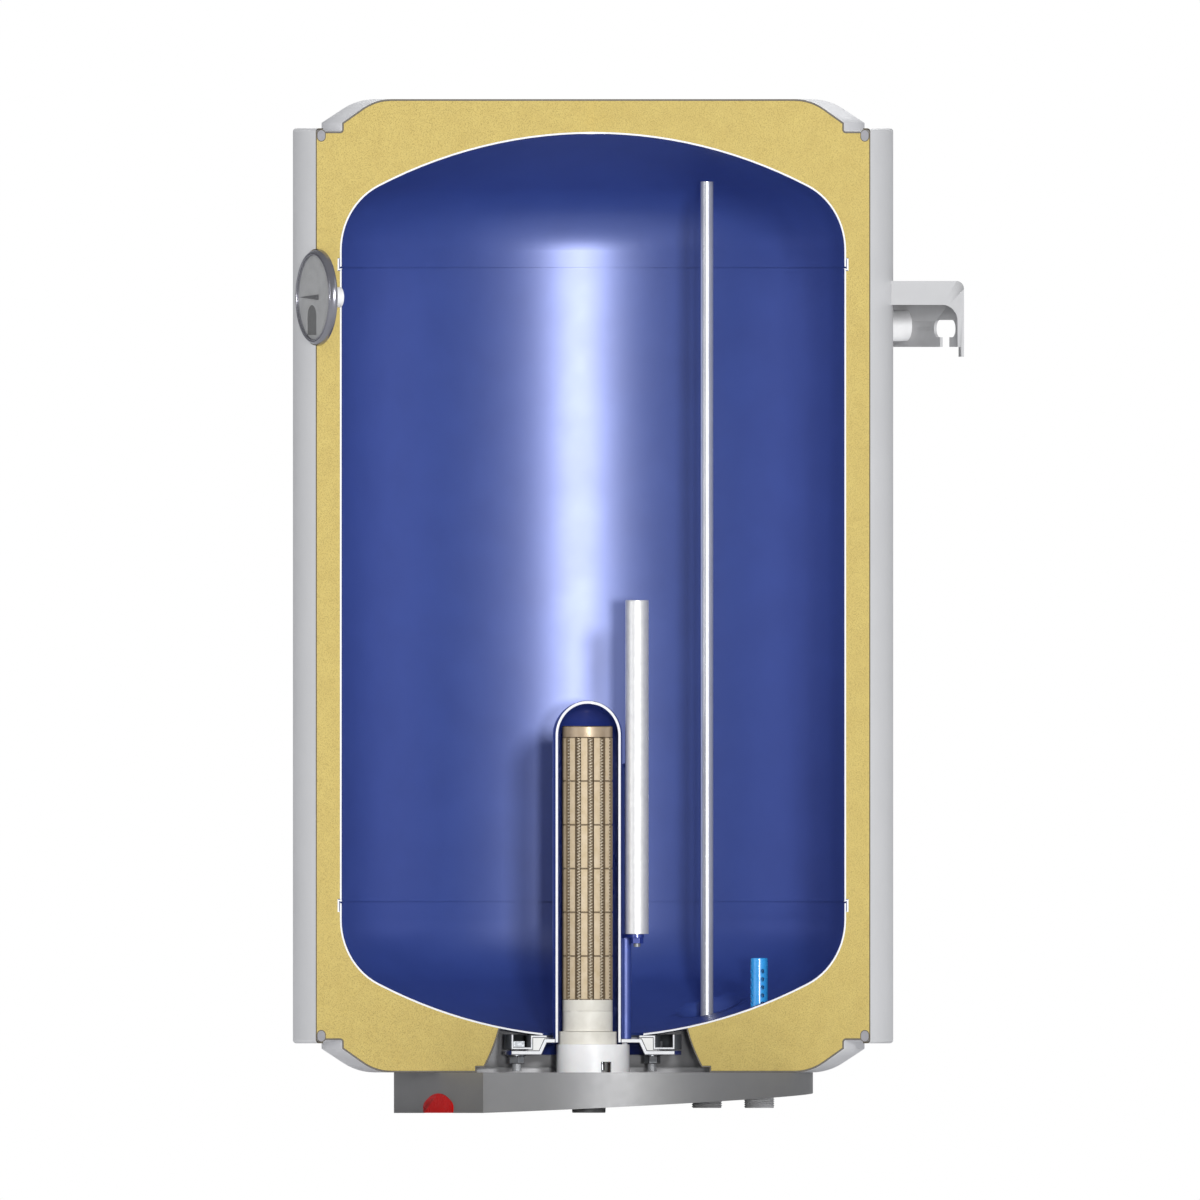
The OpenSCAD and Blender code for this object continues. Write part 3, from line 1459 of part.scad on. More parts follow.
place() outer_jacket();
place() top_cover();
place() bottom_cover();
place() foam_insulation();
place() tank_shell();
place() tank_top_head();
place() tank_bottom_head();
place() flange_ring();
place() flange_gasket();
place() flange_plate();
place() flange_bolts();
place() flange_washers();
place() flange_nuts();
place() element_sheath();
place() ceramic_bead_1();
place() ceramic_bead_2();
place() ceramic_bead_3();
place() ceramic_bead_4();
place() ceramic_bead_5();
place() ceramic_bead_6();
place() ceramic_top_disc();
place() ceramic_base();
place() ceramic_collar();
place() element_rod();
place() heating_spirals();
place() element_holder();
place() element_terminals();
place() sensor_pocket();
place() sensor_bulb();
place() sensor_capillary();
place() anode_bracket();
place() anode_rod();
place() anode_stud();
place() anode_nut();
place() hot_nipple();
place() hot_pipe_bush();
place() hot_outlet_pipe();
place() cold_nipple();
place() cold_diffuser();
place() wall_bracket();
place() bracket_post();
place() control_housing();
place() housing_screws();
place() pilot_lens();
place() cable_gland();
place() gland_nut();
place() thermostat_body();
place() thermostat_spindle();
place() thermostat_knob();
place() safety_cutout();
place() reset_button();
place() terminal_block();
place() dial_stem();
place() dial_case();
place() dial_face();
place() dial_pointer();
place() dial_lens();
place() dial_bezel();
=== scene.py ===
"""Looks of a wall-hung storage water heater that is shown in section.

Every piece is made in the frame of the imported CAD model, in metres, with its object at the origin.
Sizes below are in millimetres in the tank's own frame: the tank's axis is Z, the wall lies towards
+Y, the dial faces -Y, and z = 0 is the underside of the casing.
"""

import json
import logging
import math
from dataclasses import dataclass
from dataclasses import field
from enum import Enum
from typing import Callable
from typing import Iterable

import bmesh
import bpy
import numpy as np
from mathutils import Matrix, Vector
from numpy.typing import ArrayLike

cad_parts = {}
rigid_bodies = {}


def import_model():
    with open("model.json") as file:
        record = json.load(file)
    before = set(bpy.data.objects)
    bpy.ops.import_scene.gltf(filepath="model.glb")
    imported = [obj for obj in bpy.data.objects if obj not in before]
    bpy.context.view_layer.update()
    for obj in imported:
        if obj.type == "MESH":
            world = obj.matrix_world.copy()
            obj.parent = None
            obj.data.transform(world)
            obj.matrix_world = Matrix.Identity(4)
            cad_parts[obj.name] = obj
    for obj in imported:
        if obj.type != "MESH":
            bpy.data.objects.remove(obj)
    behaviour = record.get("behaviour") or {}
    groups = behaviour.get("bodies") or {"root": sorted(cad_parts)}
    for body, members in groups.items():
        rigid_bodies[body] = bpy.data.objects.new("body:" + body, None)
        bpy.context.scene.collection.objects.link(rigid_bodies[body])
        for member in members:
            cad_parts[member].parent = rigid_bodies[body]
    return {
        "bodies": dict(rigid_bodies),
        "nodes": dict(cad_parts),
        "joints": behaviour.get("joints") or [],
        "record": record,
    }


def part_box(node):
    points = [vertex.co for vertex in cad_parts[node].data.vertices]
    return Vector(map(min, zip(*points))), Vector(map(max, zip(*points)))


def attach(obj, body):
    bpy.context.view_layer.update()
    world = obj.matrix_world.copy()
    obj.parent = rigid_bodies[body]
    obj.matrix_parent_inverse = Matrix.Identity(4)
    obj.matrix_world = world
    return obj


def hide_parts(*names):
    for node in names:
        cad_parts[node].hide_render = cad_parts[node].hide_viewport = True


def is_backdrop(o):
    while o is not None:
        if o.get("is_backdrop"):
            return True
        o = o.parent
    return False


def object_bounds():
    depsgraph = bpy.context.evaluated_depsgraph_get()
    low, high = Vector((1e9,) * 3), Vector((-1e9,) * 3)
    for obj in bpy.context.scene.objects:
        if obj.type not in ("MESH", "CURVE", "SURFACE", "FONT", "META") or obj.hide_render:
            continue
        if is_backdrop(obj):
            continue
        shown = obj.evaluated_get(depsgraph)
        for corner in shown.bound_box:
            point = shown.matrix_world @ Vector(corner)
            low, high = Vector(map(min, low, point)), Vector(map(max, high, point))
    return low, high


log = logging.getLogger("scene")

MM = 0.001
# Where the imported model's origin is in the tank's frame: on the wall's face, as high as the slots
ORIGIN = np.array([0.0, 298.3, 649.3])
# Directions of the cut-away's two planes, in degrees, and how near to one a face lies on it
CUT_FROM = -90.0
CUT_TO = 45.0
ON_PLANE = 0.02
# Direction that the heater's front faces, in degrees
FRONT = -90.0
# Gap between the heater and the floor, in metres
FLOOR_GAP = 0.001
# Axes of the upright round walls, along X and Y
ELEMENT_AXIS = ((0.0, -5.25),)
POCKET_AXIS = ((0.0, 30.85),)
ANODE_AXIS = ((17.6, 34.2),)
HOT_AXIS = ((-59.7, 132.3),)
COLD_AXIS = ((59.7, 132.3),)
HOUSING_AXIS = ((0.0, 8.0),)
KNOB_AXIS = ((0.0, -4.0),)
# Axes of the round walls that lie along Y, along X and Z
DIAL_AXIS = ((0.0, 676.7),)
POST_AXIS = ((0.0, 651.8),)
# A point inside the tank, about half way up
TANK_MIDDLE = (0.0, 0.0, 425.0)
# Radii that the walls and floors of the beads' grooves lie between
GROOVE_RADII = (14.0, 21.4)
# Radius of the bolt circle, room round a bolt, and height below which the bolts carry a thread
BOLT_CIRCLE_R = 66.7
BOLT_ROOM = 4.2
BOLT_THREAD_TOP = 22.0
# Heights above the knob's lower face that its mark's floor lies between
MARK_HEIGHTS = (0.3, 1.0)
# Middle and half width of the arch in the dial's face, its ends below the axis, and its depth's bounds
ARCH_X = -7.8
ARCH_HALF = 10.6
ARCH_TOP = 6.7
ARCH_BOTTOM = 33.1
ARCH_SUNK = 0.2
ARCH_BACK = 0.5
# Part of a noise's range that is spread over a finish's range
NOISE_LOW = 0.3
NOISE_HIGH = 0.7
# Distances in an open foam cell between which it goes from dark to pale, and how dark it is: the
# dark middle of a cell is painted shade in its pit
CELL_INNER = 0.12
CELL_OUTER = 0.42
CELL_SHADE = 0.72
# How finely the noises of colour, relief and gloss are broken up
PATCH_DETAIL = 4.0
GRAIN_DETAIL = 3.0
GLOSS_DETAIL = 2.0
# How many times coarser the patches of gloss are than the grain
GLOSS_GRAIN = 6
# Places of the two colours and of the mixed colour among the sockets of a Mix node
MIX_FIRST = 6
MIX_SECOND = 7
MIXED = 2
# Depth in millimetres that light reaches in a finish that scatters it
SCATTER_DEPTH = 2
# Corners of a CAD mesh closer than this are one, in metres
WELD = 0.001 * MM
# Faces within this angle are one flat, in degrees
FLAT_ANGLE = 0.05
# A round wall's corners differ less than this in radius, in millimetres, and are this far out
ROUND_PLAY = 0.05
ROUND_LEAST = 0.5
# How squarely a round wall faces its axis, as a cosine
ROUND_FACING = 0.9
# How squarely a face looks up or down, or along a cut, as a cosine
FLAT_FACING = 0.9
CUT_FACING = 0.999
# Share of a face's normal along Z below which the face is a wall
WALL_LEAN = 0.5
# Stands in for a distance of nought from an axis where a direction is divided by it
TINY = 1e-9
# Number of faces across a broken edge
EDGE_STEPS = 2
# Widest angle that is shaded smooth on the turned pieces, in degrees
THREAD_SMOOTH = 40
BEZEL_SMOOTH = 50


class Walls(Enum):
    """Which walls beside a cut face get a narrow line of painted shade along the cut."""

    ALL = "all"
    TANK_SIDE = "tank side"


def metres(points: ArrayLike) -> np.ndarray:
    """Turns points of the tank's frame, in millimetres, into metres of the model's frame."""
    return (np.asarray(points, dtype=float) - ORIGIN) * MM


def millimetres(points: ArrayLike) -> np.ndarray:
    """Turns points of the model's frame, in metres, into millimetres of the tank's frame."""
    return np.asarray(points, dtype=float) / MM + ORIGIN


def steps_round(count: int) -> np.ndarray:
    """Angles of equal steps round a circle, in radians."""
    return np.arange(count) * 2 * math.pi / count


def values(items: bpy.types.bpy_prop_collection, name: str, width: int = 1,
           kind: type = float) -> np.ndarray:
    """Reads one property of all items at once.

    Args:
        items: The items, such as a mesh's vertices.
        name: The property's name.
        width: How many numbers it has.
        kind: Their type.

    Returns:
        One row for each item, or one number for each where the property has only one.
    """
    found = np.empty(width * len(items), dtype=kind)
    items.foreach_get(name, found)
    return found.reshape(-1, width) if width > 1 else found


def put(name: str, data: bpy.types.ID) -> bpy.types.Object:
    """Adds an object to the scene, at the origin.

    Args:
        name: Its name.
        data: Its mesh, camera or light.

    Returns:
        The new object.
    """
    thing = bpy.data.objects.new(name, data)
    bpy.context.scene.collection.objects.link(thing)
    return thing


def linear(colour: str) -> tuple[float, float, float, float]:
    """Turns an sRGB colour written as six hex digits into Blender's linear colour."""
    parts = [int(colour[i:i + 2], 16) / 255 for i in (1, 3, 5)]
    return (*(p / 12.92 if p <= 0.04045 else ((p + 0.055) / 1.055) ** 2.4 for p in parts), 1.0)


@dataclass(frozen=True)
class Finish:
    """How one real material looks.

    Args:
        name: What the real material is.
        colour: Its main colour, as sRGB hex.
        shade: The colour that it drifts to in patches.
        roughness: Its mean roughness.
        metallic: How metallic it is.
        coat: Weight of the clear coat.
        coat_roughness: Roughness of the clear coat.
        ior: Its index of refraction.
        patch: Size of the patches of colour, in millimetres.
        grain: Size of the fine grain, in millimetres.
        relief: Height of the fine grain, in millimetres.
        spread: How far the roughness strays from its mean.
        stretch: How many times finer the pattern is along X, Y and Z.
        pores: Size of open cells, in millimetres, or nought for none.
        pitch: Pitch of a rolled thread, in millimetres, or nought for none.
        scatter: Weight of the light that scatters under its surface.
        alpha: How much of it covers what lies behind.
    """

    name: str
    colour: str
    shade: str
    roughness: float
    metallic: float = 0.0
    coat: float = 0.0
    coat_roughness: float = 0.1
    ior: float = 1.5
    patch: float = 15.0
    grain: float = 0.6
    relief: float = 0.01
    spread: float = 0.06
    stretch: tuple[float, float, float] = (1.0, 1.0, 1.0)
    pores: float = 0.0
    pitch: float = 0.0
    scatter: float = 0.0
    alpha: float = 1.0


class NodeTree:
    """The nodes of a material or of the world, added one call at a time."""

    def __init__(self, owner: bpy.types.Material | bpy.types.World) -> None:
        """Clears the nodes that a new material or world comes with.

        Args:
            owner: The material or the world.
        """
        owner.use_nodes = True
        self.owner = owner
        self.tree = owner.node_tree
        self.tree.nodes.clear()

    def add(self, kind: str, inputs: dict[str | int, object],
            **settings: object) -> bpy.types.NodeOutputs:
        """Adds one node with its settings and links.

        Args:
            kind: Blender's name of the node.
            inputs: Values, or sockets to link, by the name or the place of the input.
            settings: Values of the node's own properties.

        Returns:
            The node's outputs.
        """
        node = self.tree.nodes.new(kind)
        for name, value in settings.items():
            setattr(node, name, value)
        for key, value in inputs.items():
            if isinstance(value, bpy.types.NodeSocket):
                self.tree.links.new(value, node.inputs[key])
            else:
                node.inputs[key].default_value = value
        return node.outputs


class Workshop:
    """Makes each finish once and hands it out again."""

    def __init__(self) -> None:
        """Starts with no materials."""
        self.made: dict[str, bpy.types.Material] = {}

    def get(self, finish: Finish) -> bpy.types.Material:
        """Looks a finish up, and makes it where it isn't there yet.

        Args:
            finish: The finish that is wanted.

        Returns:
            Its material.
        """
        if finish.name not in self.made:
            self.made[finish.name] = self.make(finish)
        return self.made[finish.name]

    def make(self, finish: Finish) -> bpy.types.Material:
        """Builds a finish from patches of colour, a varying roughness and a fine relief.

        A slow noise mixes the two colours, and a finer one takes the roughness off its mean. The
        relief is a fine noise, the walls of open cells, or the flanks of a thread.

        Args:
            finish: The finish to build.

        Returns:
            The new material.
        """
        tree = NodeTree(bpy.data.materials.new(finish.name))
        place = tree.add("ShaderNodeTexCoord", {})["Object"]
        drawn = tree.add("ShaderNodeMapping", {"Vector": place, "Scale": finish.stretch})["Vector"]
        tone, height, shine = (
            tree.add("ShaderNodeTexNoise", {
                "Vector": vector, "Scale": 1 / (size * MM), "Detail": detail})["Fac"]
            for vector, size, detail in (
                (place, finish.patch, PATCH_DETAIL),
                (drawn, finish.grain, GRAIN_DETAIL),
                (drawn, finish.grain * GLOSS_GRAIN, GLOSS_DETAIL)))
        patches, gloss = (
            tree.add("ShaderNodeMapRange", {
                "Value": noise, "From Min": NOISE_LOW, "From Max": NOISE_HIGH,
                "To Min": low, "To Max": high})["Result"]
            for noise, low, high in (
                (tone, 0.0, 1.0),
                (shine, finish.roughness - finish.spread, finish.roughness + finish.spread)))
        colour = tree.add("ShaderNodeMix", {
            "Factor": patches, MIX_FIRST: linear(finish.colour), MIX_SECOND: linear(finish.shade)},
            data_type="RGBA")[MIXED]
        if finish.pores:
            cells = tree.add("ShaderNodeTexVoronoi", {"Vector": place, "Scale": 1 / (finish.pores * MM)})
            height = tree.add("ShaderNodeMapRange", {
                "Value": cells["Distance"], "From Min": CELL_INNER, "From Max": CELL_OUTER})["Result"]
            # The middles of the cells are painted darker, as the shade in their pits
            dark = (*(part * CELL_SHADE for part in linear(finish.shade)[:3]), 1.0)
            colour = tree.add("ShaderNodeMix", {
                "Factor": height, MIX_FIRST: dark, MIX_SECOND: colour}, data_type="RGBA")[MIXED]
        if finish.pitch:
            up = tree.add("ShaderNodeSeparateXYZ", {"Vector": place})["Z"]
            turns = tree.add("ShaderNodeMath", {0: up, 1: 1 / (finish.pitch * MM)},
                             operation="MULTIPLY")["Value"]
            height = tree.add("ShaderNodeMath", {0: turns, 1: 0.5}, operation="PINGPONG")["Value"]
        bump = tree.add("ShaderNodeBump", {"Height": height, "Distance": finish.relief * MM})
        shader = tree.add("ShaderNodeBsdfPrincipled", {
            "Base Color": colour, "Roughness": gloss, "Normal": bump["Normal"],
            "Metallic": finish.metallic, "IOR": finish.ior, "Coat Weight": finish.coat,
            "Coat Roughness": finish.coat_roughness, "Subsurface Weight": finish.scatter,
            "Subsurface Scale": SCATTER_DEPTH * MM, "Alpha": finish.alpha})
        tree.add("ShaderNodeOutputMaterial", {"Surface": shader["BSDF"]})
        return tree.owner


# Grains and lines finer than a millimetre are drawn coarser than real ones, so that they show.
# The jacket's sheet, stove-enamelled pale grey, with a faint orange peel
JACKET_PAINT = Finish("stoved_paint_pale_grey", "#e0e0e1", "#dbdbdc", 0.42, coat=0.25,
                      coat_roughness=0.25, patch=90, grain=1.6, relief=0.02)
# The end covers, moulded in grey polypropylene with a fine eroded grain that dulls them
COVER_PLASTIC = Finish("moulded_polypropylene_grey", "#e4e4e6", "#dedee0", 0.5, patch=60, grain=0.9,
                       relief=0.03)
# Rigid polyurethane foam as a saw leaves it: matt, and pitted with open cells, about twice as
# wide as real ones, whose middles are painted darker as the shade in their pits
FOAM = Finish("sawn_polyurethane_foam", "#c9b46b", "#c3ad66", 0.92, patch=16, grain=1.0, relief=0.2,
              pores=0.8)
# Blue glass enamel inside the tank, fired on, a little wavy, with a broad soft shine
TANK_ENAMEL = Finish("blue_glass_enamel", "#3d55a1", "#39509a", 0.4, metallic=0.3, ior=1.9,
                     coat=0.6, coat_roughness=0.37, patch=40, grain=5.0, relief=0.012, spread=0.012)
# The same enamel, darker and glossier, on the flange plate, the sheath and the anode's fixing
DARK_ENAMEL = Finish("dark_blue_glass_enamel", "#32459a", "#2b3c8b", 0.3, metallic=0.25, ior=1.7,
                     coat=0.7, coat_roughness=0.15, patch=14, grain=3.0, relief=0.02, spread=0.03)
# The same enamel on the narrow sensor pocket, where its shine is softer
POCKET_ENAMEL = Finish("pocket_glass_enamel", "#3c52a4", "#364a98", 0.5, metallic=0.35, ior=1.8,
                       coat=0.5, coat_roughness=0.4, patch=14, grain=3.0, spread=0.03)
# Steel as the saw leaves it, wiped bright, nearly white
CUT_STEEL = Finish("sawn_bright_steel", "#f4f5f7", "#e9ebee", 0.45, metallic=0.1, patch=9,
                   grain=0.35, relief=0.02, stretch=(1.0, 1.0, 6.0))
# The tank's enamel seen edge-on in the cut, as a dark blue line, painted much darker than the enamel as
# the shade along the cut's edge
ENAMEL_EDGE_SHADE = Finish("cut_enamel_and_painted_shade", "#131b60", "#101753", 0.4, patch=9, grain=0.5)
# Dark grey painted along the cut outlines of the flange's parts and on the nuts' chamfers, as painted
# shade at their edges
EDGE_SHADE_GREY = Finish("painted_edge_shade", "#55555a", "#4b4b50", 0.6, patch=5, grain=0.3, relief=0.02)
# Polypropylene as the saw leaves it, matt grey
CUT_PLASTIC = Finish("sawn_polypropylene", "#98979c", "#909095", 0.6, patch=5, grain=0.4,
                     relief=0.02)
# The jacket's sawn edge and the outline of the covers' sawn plastic, painted dark and matt as the shade
# along the cut
CUT_OUTLINE_SHADE = Finish("sawn_edge_painted_shade", "#5d5545", "#544c3d", 0.65, patch=5, grain=0.3,
                     relief=0.02)
# Phosphated steel of the flange ring and the dial's case, a dull dark grey
RING_STEEL = Finish("phosphated_steel", "#73777c", "#676b70", 0.48, metallic=0.3, patch=12,
                    grain=0.5, relief=0.02)
# Zinc-plated steel of fixings, with the cloudiness of the plating bath
ZINC_STEEL = Finish("zinc_plated_steel", "#b9bcc0", "#a6a9ae", 0.34, metallic=0.85, patch=4,
                    grain=0.4)
# Rolled thread in the same plating, with a ridge for each turn of an M8 bolt
ZINC_THREAD = Finish("zinc_plated_thread", "#d6d8db", "#bfc2c6", 0.32, metallic=0.5, patch=4,
                     relief=0.35, pitch=1.25)
# Blackened steel of the nuts, the bolts' heads and the anode's stud, with a low shine
DARK_STEEL = Finish("blackened_steel", "#8b8e92", "#7d8084", 0.4, metallic=0.35, patch=5, grain=0.4,
                    relief=0.015)
# Turned mild steel of the post and the stem, pale, with fine lines round it
MILL_STEEL = Finish("turned_mild_steel", "#f7f7f7", "#ededee", 0.4, metallic=0.1, patch=14,
                    grain=0.3, stretch=(1.0, 8.0, 1.0))
# Bright drawn stainless tube, with lines along its length
BRIGHT_TUBE = Finish("bright_drawn_stainless", "#d6d8dc", "#ccced4", 0.3, metallic=0.55, patch=30,
                     grain=0.4, relief=0.002, stretch=(1.0, 1.0, 0.04), spread=0.03)
# Nickel-plated steel of the connections, pale and satin
NICKEL = Finish("nickel_plated_steel", "#efeff0", "#e4e4e6", 0.4, metallic=0.12, patch=8, grain=0.5)
# Powder-coated steel of the wall bracket, satin grey with a slight grain
BRACKET_PAINT = Finish("powder_coated_steel", "#bdbdbe", "#b7b7b8", 0.5, coat=0.1, patch=40,
                       grain=0.8, relief=0.03)
# Silicone rubber of the gasket, matt white
GASKET = Finish("white_silicone_rubber", "#f0f0ee", "#e6e6e3", 0.6, patch=10, grain=0.7,
                relief=0.02)
# Cordierite ceramic of the beads, beige, fired and unglazed, so that it hardly shines
CERAMIC = Finish("cordierite_ceramic_beige", "#cdbb9f", "#bfab89", 0.72, patch=7, grain=0.45,
                 relief=0.05)
# The same ceramic on its chamfers, painted dark as the shade along its edges
CHAMFER_SHADE_CERAMIC = Finish("ceramic_chamfer_painted_shade", "#695943", "#5a4b38", 0.8, patch=5, grain=0.4,
                      relief=0.05)
# The same ceramic in the grooves, painted darker as the shade in them
GROOVE_SHADE_CERAMIC = Finish("ceramic_groove_painted_shade", "#86755d", "#74644e", 0.8, patch=9, grain=0.45,
                         relief=0.05)
# The cap of the same ceramic, fired darker and smoother, which shines a little
CAP_CERAMIC = Finish("fired_ceramic_cap", "#b5a289", "#a8947a", 0.42, metallic=0.35, patch=9,
                     grain=0.5)
# Steatite ceramic of the base and the collar, off-white and smooth
WHITE_CERAMIC = Finish("steatite_ceramic_white", "#dfdcd2", "#d5d1c6", 0.5, patch=9, grain=0.5,
                       relief=0.03)
# Bright resistance wire, which glints in the grooves
HEATING_WIRE = Finish("bright_resistance_wire", "#f2e7d2", "#dccdb2", 0.32, metallic=0.35,
                      patch=2.2, grain=0.3, relief=0.006)
# White glass-filled nylon of the holder, the bush and the terminal block, a little translucent
WHITE_PLASTIC = Finish("white_filled_nylon", "#f2f2f2", "#e9e9ea", 0.42, patch=14, grain=0.5,
                       relief=0.02, scatter=0.05)
# Ivory thermoset of the thermostat, smooth and slightly glossy
IVORY_PLASTIC = Finish("ivory_thermoset", "#e6e2d4", "#dbd6c6", 0.4, patch=14, grain=0.5,
                       relief=0.015)
# Blue acetal of the diffuser, glossy and a little translucent
BLUE_PLASTIC = Finish("blue_acetal", "#38a0e6", "#3096dd", 0.28, coat=0.3, patch=10, relief=0.015,
                      scatter=0.08)
# Cast magnesium of the anode, dull grey-white
MAGNESIUM = Finish("cast_magnesium", "#e6e6e6", "#dcdcdd", 0.42, metallic=0.5, coat=0.2,
                   coat_roughness=0.3, patch=6, grain=0.7, relief=0.05)
# Drawn copper of the sensor's bulb and capillary, bright
COPPER = Finish("drawn_copper", "#b87850", "#a76843", 0.3, metallic=1.0, patch=4, grain=0.3,
                relief=0.006)
# Glossy grey polymer of the control housing, with a broad highlight down its front
HOUSING_PLASTIC = Finish("glossy_grey_polymer", "#898989", "#838384", 0.5, metallic=0.6, ior=1.6,
                         coat=0.2, coat_roughness=0.45, patch=50, grain=1.4, relief=0.008,
                         spread=0.02)
# Dark grey nylon of the gland and its nut, with a satin grain
DARK_PLASTIC = Finish("dark_grey_nylon", "#77777a", "#6b6b6e", 0.45, patch=8, grain=0.5,
                      relief=0.03)
# Moulded ABS of the knob, satin grey
KNOB_PLASTIC = Finish("moulded_grey_abs", "#a9a9ab", "#9f9fa1", 0.4, patch=8, relief=0.02)
# White paint in the knob's mark
MARK_PAINT = Finish("white_filling_paint", "#f4f4f2", "#ebebe8", 0.5, patch=3, grain=0.3)
# Black thermoset of the cut-out, satin
BLACK_PLASTIC = Finish("black_thermoset", "#232325", "#1b1b1d", 0.4, patch=8, grain=0.5,
                       relief=0.02)
# Red polycarbonate of the pilot lens, which looks evenly red from outside
RED_LENS = Finish("red_polycarbonate", "#c40000", "#ba0000", 0.3, ior=1.15, patch=9, grain=1.2)
# Red nylon of the reset button, satin
RED_BUTTON = Finish("red_nylon", "#a01418", "#901014", 0.4, patch=3, grain=0.4)
# Brushed aluminium of the dial's sheet, with fine upright lines
DIAL_SHEET = Finish("brushed_aluminium_dial", "#a4a4a4", "#989898", 0.5, metallic=0.1, patch=6,
                    grain=0.35, relief=0.012, stretch=(1.0, 1.0, 0.03))
# Dark field printed in the dial's arch, matt
DIAL_FIELD = Finish("dark_printed_field", "#565656", "#4e4e4e", 0.55, patch=5, grain=0.4)
# Satin chromed brass of the bezel, which mirrors softly
CHROME = Finish("satin_chromed_brass", "#94949b", "#8a8a92", 0.22, metallic=0.75, patch=20,
                grain=1.2, relief=0.002, spread=0.04)
# Painted aluminium of the pointer, dark and matt
POINTER = Finish("painted_aluminium_pointer", "#454547", "#3c3c3e", 0.5, patch=4, grain=0.4)
# Clear acrylic in front of the dial, which is barely seen
CLEAR_LENS = Finish("clear_acrylic", "#fbfcfd", "#f8fafb", 0.04, ior=1.3, patch=20, grain=3.0,
                    relief=0.001, spread=0.01, alpha=0.03)


@dataclass(frozen=True)
class Faces:
    """The faces of a mesh, and the rules that sort them.

    Each rule gives one truth value for each face.

    Args:
        middles: Their middles, in millimetres of the tank's frame.
        normals: Their unit normals.
    """

    middles: np.ndarray
    normals: np.ndarray

    def from_axis(self, x: float, y: float) -> np.ndarray:
        """Distances of the middles from an upright axis, in millimetres."""
        return np.linalg.norm(self.middles[:, :2] - np.array([x, y]), axis=1)

    def walls(self) -> np.ndarray:
        """Marks the upright faces."""
        return np.abs(self.normals[:, 2]) < WALL_LEAN

    def on_cut(self) -> np.ndarray:
        """Marks the faces that lie on one of the two planes of the cut-away."""
        marks = np.zeros(len(self.middles), dtype=bool)
        for angle in (CUT_FROM, CUT_TO):
            turn = math.radians(angle)
            along = np.array([math.cos(turn), math.sin(turn)])
            across = np.array([-along[1], along[0]])
            near = np.abs(self.middles[:, :2] @ across) < ON_PLANE
            facing = np.abs(self.normals[:, :2] @ across) > CUT_FACING
            marks |= near & facing & (self.middles[:, :2] @ along > -ON_PLANE)
        return marks

    def in_groove(self) -> np.ndarray:
        """Marks the walls and floors of the grooves in a ceramic bead, which are painted darker as shade.
        """
        radius = self.from_axis(*ELEMENT_AXIS[0])
        inner, outer = GROOVE_RADII
        return self.walls() & (radius < outer) & (radius > inner)

    def on_thread(self) -> np.ndarray:
        """Marks the upright round faces of the bolts, which carry the thread."""
        shank = np.abs(self.from_axis(0.0, 0.0) - BOLT_CIRCLE_R) < BOLT_ROOM
        return self.walls() & shank & (self.middles[:, 2] < BOLT_THREAD_TOP)

    def in_mark(self) -> np.ndarray:
        """Marks the floor of the groove in the knob's lower face, which lies just above that face."""
        above = self.middles[:, 2] - self.middles[:, 2].min()
        low, high = MARK_HEIGHTS
        return (self.normals[:, 2] < -FLAT_FACING) & (above > low) & (above < high)

    def in_arch(self) -> np.ndarray:
        """Marks the sunken field in the dial's face."""
        x, y, z = self.middles.T
        below = DIAL_AXIS[0][1] - z
        inside = (np.abs(x - ARCH_X) < ARCH_HALF) & (below > ARCH_TOP) & (below < ARCH_BOTTOM)
        sunken = (y > y.min() + ARCH_SUNK) & (y < y.max() - ARCH_BACK)
        return inside & (np.abs(self.normals[:, 1]) > FLAT_FACING) & sunken


Rule = Callable[[Faces], np.ndarray]


@dataclass(frozen=True)
class Dressed:
    """A CAD node that gets a smooth, finished twin.

    Args:
        node: The node's name.
        finish: What its skin is made of.
        other: A second finish, or None.
        rule: Marks the faces that take the second finish, and whose outline takes the line.
        edge: Radius of its broken edges in millimetres, or nought for none.
        edge_finish: The finish of its broken edges, which paints shade along them, or None for the same
            as the rest.
        smooth: Widest angle that is shaded smooth, in degrees.
        upright: Places of the upright axes of its round walls, along X and Y.
        lying: Places of the axes along Y of its round walls, along X and Z.
        line: The finish of the narrow line along the outline of its cut faces, which paints shade along
            the cut, or None.
        line_width: Width of that line in millimetres.
        walls: Which walls beside the cut faces get the line.
    """

    node: str
    finish: Finish
    other: Finish | None = None
    rule: Rule = Faces.on_cut
    edge: float = 0.0
    edge_finish: Finish | None = None
    smooth: float = 32.0
    upright: tuple[tuple[float, float], ...] = ((0.0, 0.0),)
    lying: tuple[tuple[float, float], ...] = ()
    line: Finish | None = None
    line_width: float = 0.5
    walls: Walls = Walls.ALL


def split_line(work: bmesh.types.BMesh, part: Dressed) -> None:
    """Splits a narrow line off the part's cut faces, along their outline, to take painted shade.

    The faces of the line are marked in the face layer named line.

    Args:
        work: The merged mesh.
        part: The part, with the width of its line.
    """
    mark = work.faces.layers.int.new("line")
    work.normal_update()
    faces = Faces(millimetres([face.calc_center_median() for face in work.faces]),
                  np.array([face.normal for face in work.faces]))
    cut = [face for face, found in zip(work.faces, part.rule(faces)) if found]
    made = bmesh.ops.inset_region(
        work, faces=cut, thickness=part.line_width * MM, use_boundary=True, use_even_offset=True)["faces"]
    flat = set(cut) | set(made)
    middle = Vector(metres(TANK_MIDDLE).tolist())
    for face in made:
        walls = [beside for edge in face.edges for beside in edge.link_faces if beside not in flat]
        towards = middle - face.calc_center_median()
        face[mark] = part.walls is Walls.ALL or any(wall.normal.dot(towards) > 0 for wall in walls)


